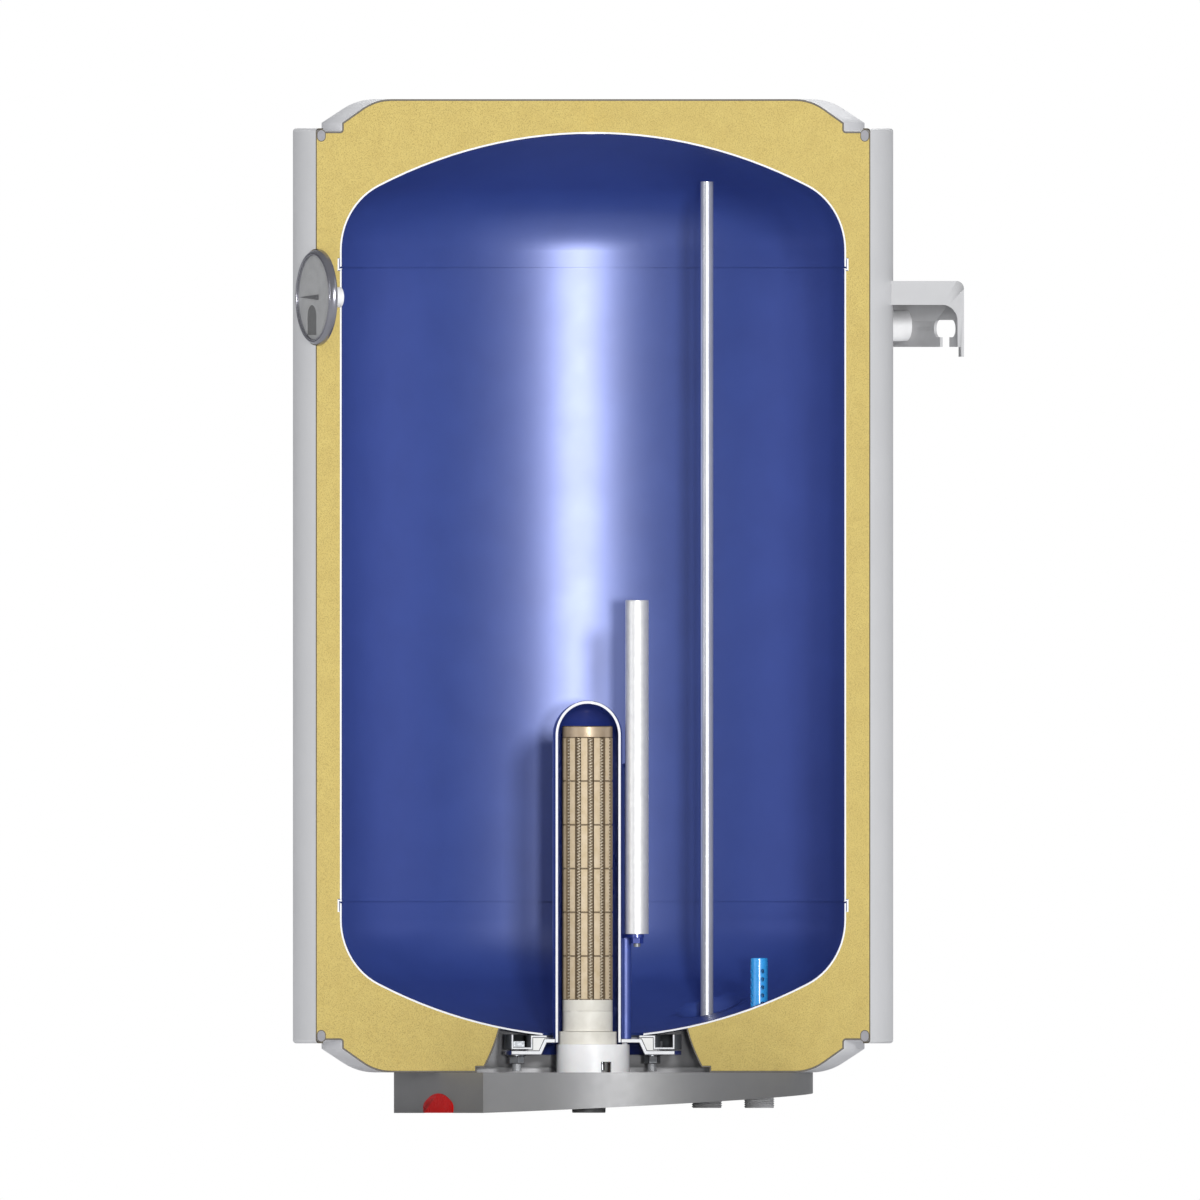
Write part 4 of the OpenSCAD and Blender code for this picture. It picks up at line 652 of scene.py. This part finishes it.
def round_normals(mesh: bpy.types.Mesh, part: Dressed) -> np.ndarray:
    """Normals of all face corners, made exact on the round walls about the part's axes.

    A face belongs to a round wall where its corners are equally far from the axis and it faces the
    axis or turns its back to it.

    Args:
        mesh: The merged mesh.
        part: The part, with its upright and lying axes.

    Returns:
        One normal for each corner.
    """
    points = millimetres(values(mesh.vertices, "co", 3))
    corners = values(mesh.loops, "vertex_index", kind=np.int32)
    starts = values(mesh.polygons, "loop_start", kind=np.int32)
    totals = values(mesh.polygons, "loop_total", kind=np.int32)
    flat = np.repeat(values(mesh.polygons, "normal", 3), totals, axis=0)
    normals = values(mesh.corner_normals, "vector", 3)
    axes = [(np.array([x, y, 0.0]), 2) for x, y in part.upright] + [
        (np.array([x, 0.0, z]), 1) for x, z in part.lying]
    for centre, along in axes:
        out = points - centre
        out[:, along] = 0.0
        reach = np.linalg.norm(out, axis=1)
        out /= np.maximum(reach, TINY)[:, None]
        low = np.repeat(np.minimum.reduceat(reach[corners], starts), totals)
        high = np.repeat(np.maximum.reduceat(reach[corners], starts), totals)
        facing = np.einsum("ij,ij->i", flat, out[corners])
        round_wall = (high - low < ROUND_PLAY) & (np.abs(facing) > ROUND_FACING) & (low > ROUND_LEAST)
        normals[round_wall] = (out[corners] * np.sign(facing)[:, None])[round_wall]
    return normals


class Model:
    """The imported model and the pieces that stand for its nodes."""

    def __init__(self, frame: dict) -> None:
        """Reads which body and which slot each node has.

        Args:
            frame: What the frame's loading gave.
        """
        self.frame = frame
        self.shop = Workshop()
        record = frame["record"]
        self.body_of = {
            node: body for body, nodes in record["behaviour"]["bodies"].items() for node in nodes}
        self.slot_of = {part["node"]: part["material_slot"] for part in record["subparts"]}
        self.triangles = 0

    def adopt(self, piece: bpy.types.Object, node: str, finishes: Iterable[Finish]) -> None:
        """Gives a piece its materials, its body and the node that it stands for.

        Args:
            piece: The piece.
            node: The CAD node.
            finishes: What its material slots hold, in order.
        """
        piece.data.materials.clear()
        for finish in finishes:
            piece.data.materials.append(self.shop.get(finish))
        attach(piece, self.body_of[node])
        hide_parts(node)
        count = sum(len(face.vertices) - 2 for face in piece.data.polygons)
        self.triangles += count
        log.info("%s: %d triangles, rides on %s", piece.name, count, self.body_of[node])

    def dress(self, part: Dressed) -> None:
        """Makes the smooth twin of one CAD node.

        Args:
            part: The node and how it is finished.
        """
        mesh = self.frame["nodes"][part.node].data.copy()
        mesh.name = f"{part.node}_skin"
        work = bmesh.new()
        work.from_mesh(mesh)
        bmesh.ops.remove_doubles(work, verts=work.verts, dist=WELD)
        if part.line:
            split_line(work, part)
        if part.edge:
            bmesh.ops.dissolve_limit(
                work, angle_limit=math.radians(FLAT_ANGLE), verts=work.verts, edges=work.edges,
                delimit={"NORMAL"})
        work.to_mesh(mesh)
        work.free()
        mesh.polygons.foreach_set("use_smooth", np.ones(len(mesh.polygons), dtype=bool))
        mesh.set_sharp_from_angle(angle=math.radians(part.smooth))
        finishes = [part.finish]
        indices = np.zeros(len(mesh.polygons), dtype=np.int32)
        if part.other:
            finishes.append(part.other)
            middles = millimetres(values(mesh.polygons, "center", 3))
            faces = Faces(middles, values(mesh.polygons, "normal", 3))
            indices = part.rule(faces).astype(np.int32)
        if part.line:
            finishes.append(part.line)
            marks = values(mesh.attributes["line"].data, "value", kind=np.int32)
            indices[marks > 0] = len(finishes) - 1
        if part.edge_finish:
            finishes.append(part.edge_finish)
        piece = put(f"{part.node}_skin", mesh)
        self.adopt(piece, part.node, finishes)
        mesh.polygons.foreach_set("material_index", indices)
        if part.edge:
            bevel = piece.modifiers.new("broken_edges", "BEVEL")
            bevel.width = part.edge * MM
            bevel.segments = EDGE_STEPS
            bevel.limit_method = "ANGLE"
            bevel.angle_limit = math.radians(part.smooth)
            bevel.harden_normals = True
            if part.edge_finish:
                bevel.material = len(finishes) - 1
        else:
            mesh.normals_split_custom_set(round_normals(mesh, part).tolist())
        mesh.update()


def grid_faces(rows: int, columns: int, closed: bool = False) -> np.ndarray:
    """Faces of a tube of rings, each ring closed on itself.

    Each face joins a point and the next one round its ring to the same two of the ring above.

    Args:
        rows: Number of rings.
        columns: Number of points in each ring.
        closed: Whether the last ring joins the first, as in a torus.

    Returns:
        The four corners of each face.
    """
    bands = rows if closed else rows - 1
    row, column = np.meshgrid(np.arange(bands), np.arange(columns), indexing="ij")
    after = (column + 1) % columns
    above = (row + 1) % rows * columns
    return np.stack([row * columns + column, row * columns + after, above + after, above + column],
                    axis=-1).reshape(-1, 4)


def make_mesh(name: str, points: ArrayLike, faces: list[list[int]]) -> bpy.types.Mesh:
    """Makes a mesh that is shaded smooth, from points and lists of corners.

    Args:
        name: The mesh's name.
        points: Its points, in millimetres of the tank's frame.
        faces: The corners of each face.

    Returns:
        The new mesh.
    """
    mesh = bpy.data.meshes.new(name)
    mesh.from_pydata(metres(points).tolist(), [], faces)
    mesh.polygons.foreach_set("use_smooth", np.ones(len(mesh.polygons), dtype=bool))
    mesh.update()
    return mesh


@dataclass
class HeatingSpirals:
    """The dense wire spirals in the grooves of the ceramic beads.

    Args:
        centre_y: Position of the element's axis along Y.
        axis_r: Distance of each spiral's axis from the element's axis.
        spiral_r: Outer radius of a spiral.
        wire_r: Radius of the wire.
        pitch: Rise of one curl.
        grooves: Number of grooves.
        first: Angle of the first groove in degrees.
        steps: Number of steps in one curl.
        sides: Number of sides of the wire.
    """

    centre_y: float = ELEMENT_AXIS[0][1]
    axis_r: float = 19.55
    spiral_r: float = 1.95
    wire_r: float = 0.42
    pitch: float = 2.86
    grooves: int = 12
    first: float = 15.0
    steps: int = 12
    sides: int = 5

    def one(self, turn: float) -> tuple[np.ndarray, np.ndarray]:
        """Points and faces of the spiral in one groove.

        The wire's centre line goes round the groove's axis while it rises by one pitch a curl.
        Round each of its points stands a ring in the plane of the outward direction and of the
        direction that is square to it and to the wire.

        Args:
            turn: Angle of the groove in degrees.

        Returns:
            The points, in millimetres of the tank's frame, and the four corners of each face.
        """
        low, high = (corner.z / MM + ORIGIN[2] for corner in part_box("heating_spirals"))
        rise = high - low - 2 * self.wire_r
        count = int(rise / self.pitch * self.steps)
        angle = np.arange(count) * 2 * math.pi / self.steps
        coil_r = self.spiral_r - self.wire_r
        outward = np.stack([np.cos(angle), np.sin(angle), np.zeros(count)], axis=-1)
        line = outward * coil_r
        line[:, 2] = low + self.wire_r + angle / (2 * math.pi) * self.pitch
        run = np.stack([-np.sin(angle) * coil_r, np.cos(angle) * coil_r,
                        np.full(count, self.pitch / (2 * math.pi))], axis=-1)
        run /= np.linalg.norm(run, axis=1, keepdims=True)
        across = np.cross(run, outward)
        spin = steps_round(self.sides)
        round_wire = (np.cos(spin)[None, :, None] * outward[:, None, :]
                      + np.sin(spin)[None, :, None] * across[:, None, :])
        rings = line[:, None, :] + self.wire_r * round_wire
        points = rings.reshape(-1, 3)
        points[:, 0] += self.axis_r
        about = math.radians(turn)
        x = points[:, 0] * math.cos(about) - points[:, 1] * math.sin(about)
        y = points[:, 0] * math.sin(about) + points[:, 1] * math.cos(about)
        faces = grid_faces(count, self.sides)
        return np.stack([x, y + self.centre_y, points[:, 2]], axis=-1), faces[:, ::-1]

    def build(self, model: Model) -> None:
        """Puts all spirals into one piece, with both ends of each wire closed.

        Args:
            model: The model that the piece goes into.
        """
        all_points = []
        all_faces = []
        start = 0
        for number in range(self.grooves):
            points, faces = self.one(self.first + number * 360 / self.grooves)
            ends = [list(range(start, start + self.sides)),
                    list(range(start + len(points) - 1, start + len(points) - 1 - self.sides, -1))]
            all_points.append(points)
            all_faces += (faces + start).tolist() + ends
            start += len(points)
        mesh = make_mesh("heating_wire_spirals", np.concatenate(all_points), all_faces)
        model.adopt(put("heating_wire_spirals", mesh), "heating_spirals", [HEATING_WIRE])


@dataclass
class ThreadedNipple:
    """A water connection with a real helical thread at its lower end.

    Args:
        node: The CAD node that it stands for.
        x: Position along X.
        y: Position along Y.
        thread_r: Radius over the thread.
        neck_r: Radius above the thread.
        bore_r: Radius of the bore.
        low: Height of its lower end.
        thread_len: Length of the thread.
        high: Height of its upper end.
        pitch: Pitch of the thread.
        depth: Depth of the thread.
        run_out: Height of the chamfer at its lower end.
        relief: How far the bore's lower edge is broken.
        shoulder: Height over which the thread's end meets the neck.
        columns: Number of steps round the axis.
        rows_per_turn: Number of steps in one turn of the thread.
    """

    node: str
    x: float
    y: float = HOT_AXIS[0][1]
    thread_r: float = 13.22
    neck_r: float = 12.4
    bore_r: float = 10.0
    low: float = -31.0
    thread_len: float = 11.0
    high: float = 47.6
    pitch: float = 1.814
    depth: float = 0.9
    run_out: float = 1.0
    relief: float = 0.4
    shoulder: float = 0.3
    columns: int = 96
    rows_per_turn: int = 10

    def radius(self, angle: np.ndarray, z: float) -> np.ndarray:
        """Radius of the threaded skin.

        It is a cosine wave that climbs one pitch a turn and fades over one pitch at both ends.

        Args:
            angle: Angles round the axis, in radians.
            z: Height of the ring, in millimetres of the tank's frame.

        Returns:
            The radius at each angle, in millimetres.
        """
        phase = (z - self.low) / self.pitch - angle / (2 * math.pi)
        wave = 0.5 - 0.5 * np.cos(2 * math.pi * phase)
        from_end = min(z - self.low, self.low + self.thread_len - z)
        fade = min(max(from_end / self.pitch, 0.0), 1.0)
        chamfer = max(self.run_out - (z - self.low), 0.0)
        return self.thread_r - self.depth * fade * wave - chamfer

    def build(self, model: Model) -> None:
        """Sets ring on ring: from the bore's lower edge, up the outside, and back down the bore.

        Args:
            model: The model that the piece goes into.
        """
        angle = steps_round(self.columns)
        levels = np.linspace(self.low, self.low + self.thread_len,
                             int(self.thread_len / self.pitch * self.rows_per_turn))
        rings = [(np.full(self.columns, self.bore_r + self.relief), self.low)]
        rings += [(self.radius(angle, z), z) for z in levels]
        neck_low = self.low + self.thread_len
        neck = [neck_low, neck_low + self.shoulder, self.high]
        rings += [(np.full(self.columns, self.neck_r), z) for z in neck]
        rings += [(np.full(self.columns, self.bore_r), z)
                  for z in (self.high, self.low + self.relief)]
        points = np.concatenate([
            np.stack([self.x + radius * np.cos(angle), self.y + radius * np.sin(angle),
                      np.full(self.columns, z)], axis=-1)
            for radius, z in rings])
        faces = grid_faces(len(rings), self.columns, closed=True)
        mesh = make_mesh(f"{self.node}_turned", points, faces.tolist())
        mesh.set_sharp_from_angle(angle=math.radians(THREAD_SMOOTH))
        model.adopt(put(f"{self.node}_turned", mesh), self.node, [NICKEL])


@dataclass
class TurnedBezel:
    """The dial's bezel: a lip, a fine groove, a second lip and a rounded flank.

    Args:
        front_y: Position of its front along Y.
        centre_z: Height of its axis.
        profile: Radius and depth behind the front of each ring, from the lens's seat round to its start.
        columns: Number of steps round the axis.
    """

    front_y: float = -265.2
    centre_z: float = DIAL_AXIS[0][1]
    profile: tuple[tuple[float, float], ...] = (
        (37.5, 0.6), (36.9, 0.6), (36.9, 0.25), (37.1, 0.05), (37.4, 0.0), (37.8, 0.08),
        (38.0, 0.4), (38.15, 0.9), (38.45, 0.9), (38.6, 0.45), (38.9, 0.2), (39.4, 0.3),
        (39.9, 0.75), (40.6, 1.7), (41.3, 3.0), (41.8, 4.3), (42.0, 5.3), (42.0, 6.4),
        (41.8, 6.6), (36.9, 6.6), (36.9, 1.4), (37.5, 1.4))
    columns: int = 144

    def build(self, model: Model) -> None:
        """Turns the profile round the dial's axis, so that each of its points runs round a circle.

        Args:
            model: The model that the piece goes into.
        """
        angle = steps_round(self.columns)
        points = np.concatenate([
            np.stack([radius * np.cos(angle), np.full(self.columns, self.front_y + depth),
                      self.centre_z + radius * np.sin(angle)], axis=-1)
            for radius, depth in self.profile])
        faces = grid_faces(len(self.profile), self.columns, closed=True)[:, ::-1]
        mesh = make_mesh("dial_bezel_turned", points, faces.tolist())
        mesh.set_sharp_from_angle(angle=math.radians(BEZEL_SMOOTH))
        model.adopt(put("dial_bezel_turned", mesh), "dial_bezel", [CHROME])


@dataclass
class Assembly:
    """A sub-assembly of the heater.

    Args:
        parts: The CAD nodes that get a smooth, finished twin.
    """

    parts: list[Dressed] = field(default_factory=list)

    def worked_out(self) -> tuple[HeatingSpirals | ThreadedNipple | TurnedBezel, ...]:
        """Pieces whose surfaces are worked out here."""
        return ()

    def build(self, model: Model) -> None:
        """Dresses the CAD nodes and builds the worked-out pieces.

        Args:
            model: The model that the pieces go into.
        """
        for part in self.parts:
            model.dress(part)
        for piece in self.worked_out():
            piece.build(model)


@dataclass
class Casing(Assembly):
    """The jacket, the end covers, the foam and the tank."""

    parts: list[Dressed] = field(default_factory=lambda: [
        # The jacket's cut face, and a line round the covers' cut faces, are painted dark as shade
        Dressed("outer_jacket", JACKET_PAINT, CUT_OUTLINE_SHADE, lying=DIAL_AXIS + POST_AXIS),
        *[Dressed(node, COVER_PLASTIC, CUT_PLASTIC, line=CUT_OUTLINE_SHADE, line_width=0.65)
          for node in ("top_cover", "bottom_cover")],
        Dressed("foam_insulation", FOAM, smooth=3.0),
        # The tank's cut takes a dark line on its inner side: its enamel, painted darker as shade
        *[Dressed(node, TANK_ENAMEL, CUT_STEEL, line=ENAMEL_EDGE_SHADE, line_width=0.7,
                  walls=Walls.TANK_SIDE)
          for node in ("tank_shell", "tank_top_head", "tank_bottom_head")],
    ])


@dataclass
class FlangeSet(Assembly):
    """The flange ring, the gasket, the plate and their fixings."""

    parts: list[Dressed] = field(default_factory=lambda: [
        # Lines round the flange's cut faces, and the nuts' chamfers, are painted shade
        Dressed("flange_ring", RING_STEEL, CUT_STEEL, line=EDGE_SHADE_GREY, line_width=0.4),
        Dressed("flange_gasket", GASKET, line=EDGE_SHADE_GREY, line_width=0.3),
        Dressed("flange_plate", DARK_ENAMEL, CUT_STEEL, line=EDGE_SHADE_GREY, line_width=0.4),
        Dressed("flange_bolts", DARK_STEEL, ZINC_THREAD, Faces.on_thread, edge=0.3),
        Dressed("flange_washers", ZINC_STEEL, edge=0.15),
        Dressed("flange_nuts", DARK_STEEL, edge=0.4, edge_finish=EDGE_SHADE_GREY),
    ])


@dataclass
class Element(Assembly):
    """The ceramic heating element, its sheath and its holder."""

    parts: list[Dressed] = field(default_factory=lambda: [
        # The sheath's cut takes a dark line: its enamel, painted darker as shade
        Dressed("element_sheath", DARK_ENAMEL, CUT_STEEL, upright=ELEMENT_AXIS, line=ENAMEL_EDGE_SHADE,
                line_width=0.4),
        # The beads' grooves and chamfers are painted darker as shade
        *[Dressed(f"ceramic_bead_{number}", CERAMIC, GROOVE_SHADE_CERAMIC, Faces.in_groove, edge=0.4,
                  edge_finish=CHAMFER_SHADE_CERAMIC)
          for number in range(1, 7)],
        # The cap's chamfers are painted dark as shade
        Dressed("ceramic_top_disc", CAP_CERAMIC, edge=0.5, edge_finish=CHAMFER_SHADE_CERAMIC),
        *[Dressed(node, WHITE_CERAMIC, edge=0.5) for node in ("ceramic_base", "ceramic_collar")],
        Dressed("element_rod", ZINC_STEEL, upright=ELEMENT_AXIS),
        Dressed("element_holder", WHITE_PLASTIC, edge=0.25),
        Dressed("element_terminals", ZINC_STEEL, edge=0.2),
    ])
    spirals: HeatingSpirals = field(default_factory=HeatingSpirals)

    def worked_out(self) -> tuple[HeatingSpirals, ...]:
        """The spirals in the grooves."""
        return (self.spirals,)


@dataclass
class TankFittings(Assembly):
    """The sensor pocket, the anode, the pipes and the connections."""

    parts: list[Dressed] = field(default_factory=lambda: [
        Dressed("sensor_pocket", POCKET_ENAMEL, upright=POCKET_AXIS),
        Dressed("sensor_bulb", COPPER, upright=POCKET_AXIS),
        Dressed("sensor_capillary", COPPER, smooth=60.0),
        Dressed("anode_bracket", DARK_ENAMEL, edge=0.3),
        Dressed("anode_rod", MAGNESIUM, upright=ANODE_AXIS),
        Dressed("anode_stud", DARK_STEEL, upright=ANODE_AXIS),
        Dressed("anode_nut", DARK_ENAMEL, edge=0.3),
        Dressed("hot_pipe_bush", WHITE_PLASTIC, upright=HOT_AXIS),
        Dressed("hot_outlet_pipe", BRIGHT_TUBE, upright=HOT_AXIS),
        Dressed("cold_diffuser", BLUE_PLASTIC, upright=COLD_AXIS),
    ])
    nipples: tuple[ThreadedNipple, ...] = field(default_factory=lambda: (
        ThreadedNipple("hot_nipple", HOT_AXIS[0][0]), ThreadedNipple("cold_nipple", COLD_AXIS[0][0])))

    def worked_out(self) -> tuple[ThreadedNipple, ...]:
        """Both water connections."""
        return self.nipples


@dataclass
class Controls(Assembly):
    """The bracket, the housing and what it holds."""

    parts: list[Dressed] = field(default_factory=lambda: [
        Dressed("wall_bracket", BRACKET_PAINT),
        Dressed("bracket_post", MILL_STEEL, lying=POST_AXIS),
        Dressed("control_housing", HOUSING_PLASTIC, smooth=2.0, upright=HOUSING_AXIS + KNOB_AXIS),
        Dressed("housing_screws", ZINC_STEEL),
        Dressed("pilot_lens", RED_LENS),
        Dressed("cable_gland", DARK_PLASTIC, edge=0.5),
        Dressed("gland_nut", DARK_PLASTIC, edge=0.4),
        Dressed("thermostat_body", IVORY_PLASTIC, edge=0.5),
        Dressed("thermostat_spindle", ZINC_STEEL, edge=0.3),
        Dressed("thermostat_knob", KNOB_PLASTIC, MARK_PAINT, Faces.in_mark, smooth=2.0,
                upright=KNOB_AXIS),
        Dressed("safety_cutout", BLACK_PLASTIC, edge=0.4),
        Dressed("reset_button", RED_BUTTON, edge=0.4),
        Dressed("terminal_block", WHITE_PLASTIC, edge=0.3),
    ])


@dataclass
class DialSet(Assembly):
    """The dial thermometer on the jacket's front."""

    parts: list[Dressed] = field(default_factory=lambda: [
        Dressed("dial_stem", MILL_STEEL, lying=DIAL_AXIS),
        Dressed("dial_case", RING_STEEL, lying=DIAL_AXIS),
        Dressed("dial_face", DIAL_SHEET, DIAL_FIELD, Faces.in_arch, smooth=2.0, lying=DIAL_AXIS),
        Dressed("dial_pointer", POINTER, smooth=2.0, lying=DIAL_AXIS),
        Dressed("dial_lens", CLEAR_LENS, smooth=2.0, lying=DIAL_AXIS),
    ])
    bezel: TurnedBezel = field(default_factory=TurnedBezel)

    def worked_out(self) -> tuple[TurnedBezel, ...]:
        """The bezel."""
        return (self.bezel,)


@dataclass(frozen=True)
class Lamp:
    """A distant light.

    Args:
        name: Its name.
        right: How far it stands to the camera's right, in degrees.
        up: How far it stands above the camera, in degrees.
        strength: Its strength.
        softness: How wide it looks, in degrees.
    """

    name: str
    right: float
    up: float
    strength: float
    softness: float


@dataclass
class Studio:
    """The camera, the lights, the floor and the white surroundings.

    Args:
        azimuth: Direction of the camera in degrees, from the heater's front towards +X.
        target: Point of the tank's frame in the middle of the picture.
        width: Width of the picture in millimetres at the object.
        distance: Distance of the camera in metres.
        reach: How far the camera sees, in metres.
        ambient: Strength of the light from all round.
        mirrored: Share of it that reflections show.
        ambient_colour: Its colour.
        floor_colour: Colour of the floor.
        floor_roughness: Roughness of the floor.
        floor_half: Half the side of the floor, in metres.
        lamps: The lights.
    """

    azimuth: float = 67.5
    target: tuple[float, float, float] = (2.32, 5.61, 412.4)
    width: float = 1047.5
    distance: float = 4.0
    reach: float = 20.0
    ambient: float = 0.5
    mirrored: float = 0.45
    ambient_colour: str = "#f4f6fa"
    floor_colour: str = "#f2f2f3"
    floor_roughness: float = 0.7
    floor_half: float = 12.0
    lamps: tuple[Lamp, ...] = (
        Lamp("key_light", 8.5, 7.0, 1.38, 5.0),
        Lamp("right_fill", 40.0, 25.0, 0.25, 40.0),
        Lamp("left_fill", -60.0, 5.0, 0.55, 30.0),
        Lamp("low_front_fill", 3.0, 0.0, 0.92, 2.0),
        Lamp("rear_fill", 172.0, 32.0, 0.85, 40.0))

    def towards(self, right: float, up: float) -> Vector:
        """Direction from the object to a place beside and above the camera.

        Args:
            right: How far to the camera's right, in degrees.
            up: How far above the camera, in degrees.

        Returns:
            A vector of length one.
        """
        turn = math.radians(FRONT + self.azimuth + right)
        rise = math.radians(up)
        return Vector((math.cos(turn) * math.cos(rise), math.sin(turn) * math.cos(rise), math.sin(rise)))

    def camera(self) -> None:
        """Adds the orthographic camera."""
        data = bpy.data.cameras.new("camera")
        data.type = "ORTHO"
        data.ortho_scale = self.width * MM
        data.clip_end = self.reach
        holder = put("camera", data)
        away = self.towards(0, 0)
        holder.location = Vector(metres(self.target).tolist()) + away * self.distance
        holder.rotation_euler = (-away).to_track_quat("-Z", "Y").to_euler()
        bpy.context.scene.camera = holder

    def light(self, lamp: Lamp) -> None:
        """Adds one distant light.

        Args:
            lamp: Its place and its strength.
        """
        data = bpy.data.lights.new(lamp.name, "SUN")
        data.energy = lamp.strength
        data.angle = math.radians(lamp.softness)
        holder = put(lamp.name, data)
        away = self.towards(lamp.right, lamp.up)
        holder.rotation_euler = (-away).to_track_quat("-Z", "Y").to_euler()

    def surroundings(self) -> None:
        """Lights the scene from all round, more weakly in reflections, with pure white behind it."""
        tree = NodeTree(bpy.data.worlds.new("studio_white"))
        colour = linear(self.ambient_colour)
        ambient, mirrored, white = (
            tree.add("ShaderNodeBackground", {"Color": tint, "Strength": strength})["Background"]
            for tint, strength in (
                (colour, self.ambient), (colour, self.ambient * self.mirrored),
                ((1.0, 1.0, 1.0, 1.0), 1.0)))
        ray = tree.add("ShaderNodeLightPath", {})
        around = tree.add("ShaderNodeMixShader", {
            "Fac": ray["Is Glossy Ray"], 1: ambient, 2: mirrored})["Shader"]
        seen = tree.add("ShaderNodeMixShader", {
            "Fac": ray["Is Camera Ray"], 1: around, 2: white})["Shader"]
        tree.add("ShaderNodeOutputWorld", {"Surface": seen})
        bpy.context.scene.world = tree.owner

    def floor(self, low: float) -> None:
        """Lays a plain pale floor under the heater.

        Args:
            low: Its height, in metres of the model's frame.
        """
        half = self.floor_half
        corners = [(-half, -half, low), (half, -half, low), (half, half, low), (-half, half, low)]
        mesh = bpy.data.meshes.new("floor")
        mesh.from_pydata(corners, [], [(0, 1, 2, 3)])
        tree = NodeTree(bpy.data.materials.new("pale_studio_floor"))
        shader = tree.add("ShaderNodeBsdfPrincipled", {
            "Base Color": linear(self.floor_colour), "Roughness": self.floor_roughness})
        tree.add("ShaderNodeOutputMaterial", {"Surface": shader["BSDF"]})
        mesh.materials.append(tree.owner)
        holder = put("floor", mesh)
        holder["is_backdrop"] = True

    def build(self, low: float) -> None:
        """Sets up the whole studio.

        Args:
            low: Height of the floor, in metres of the model's frame.
        """
        bpy.context.scene.view_settings.view_transform = "Standard"
        self.camera()
        for lamp in self.lamps:
            self.light(lamp)
        self.surroundings()
        self.floor(low)


def plain(bounds: Iterable[Iterable[float]]) -> list[list[float]]:
    """A box's corners as plain lists of numbers."""
    return [[float(value) for value in corner] for corner in bounds]


def main() -> None:
    """Builds the scene."""
    logging.basicConfig(level=logging.INFO, format="%(name)s: %(message)s")
    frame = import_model()
    cad_box = plain(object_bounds())
    Studio().build(cad_box[0][2] - FLOOR_GAP)
    model = Model(frame)
    for assembly in (Casing(), FlangeSet(), Element(), TankFittings(), Controls(), DialSet()):
        assembly.build(model)
    log.info("%d triangles before modifiers", model.triangles)


if __name__ == "__main__":
    main()
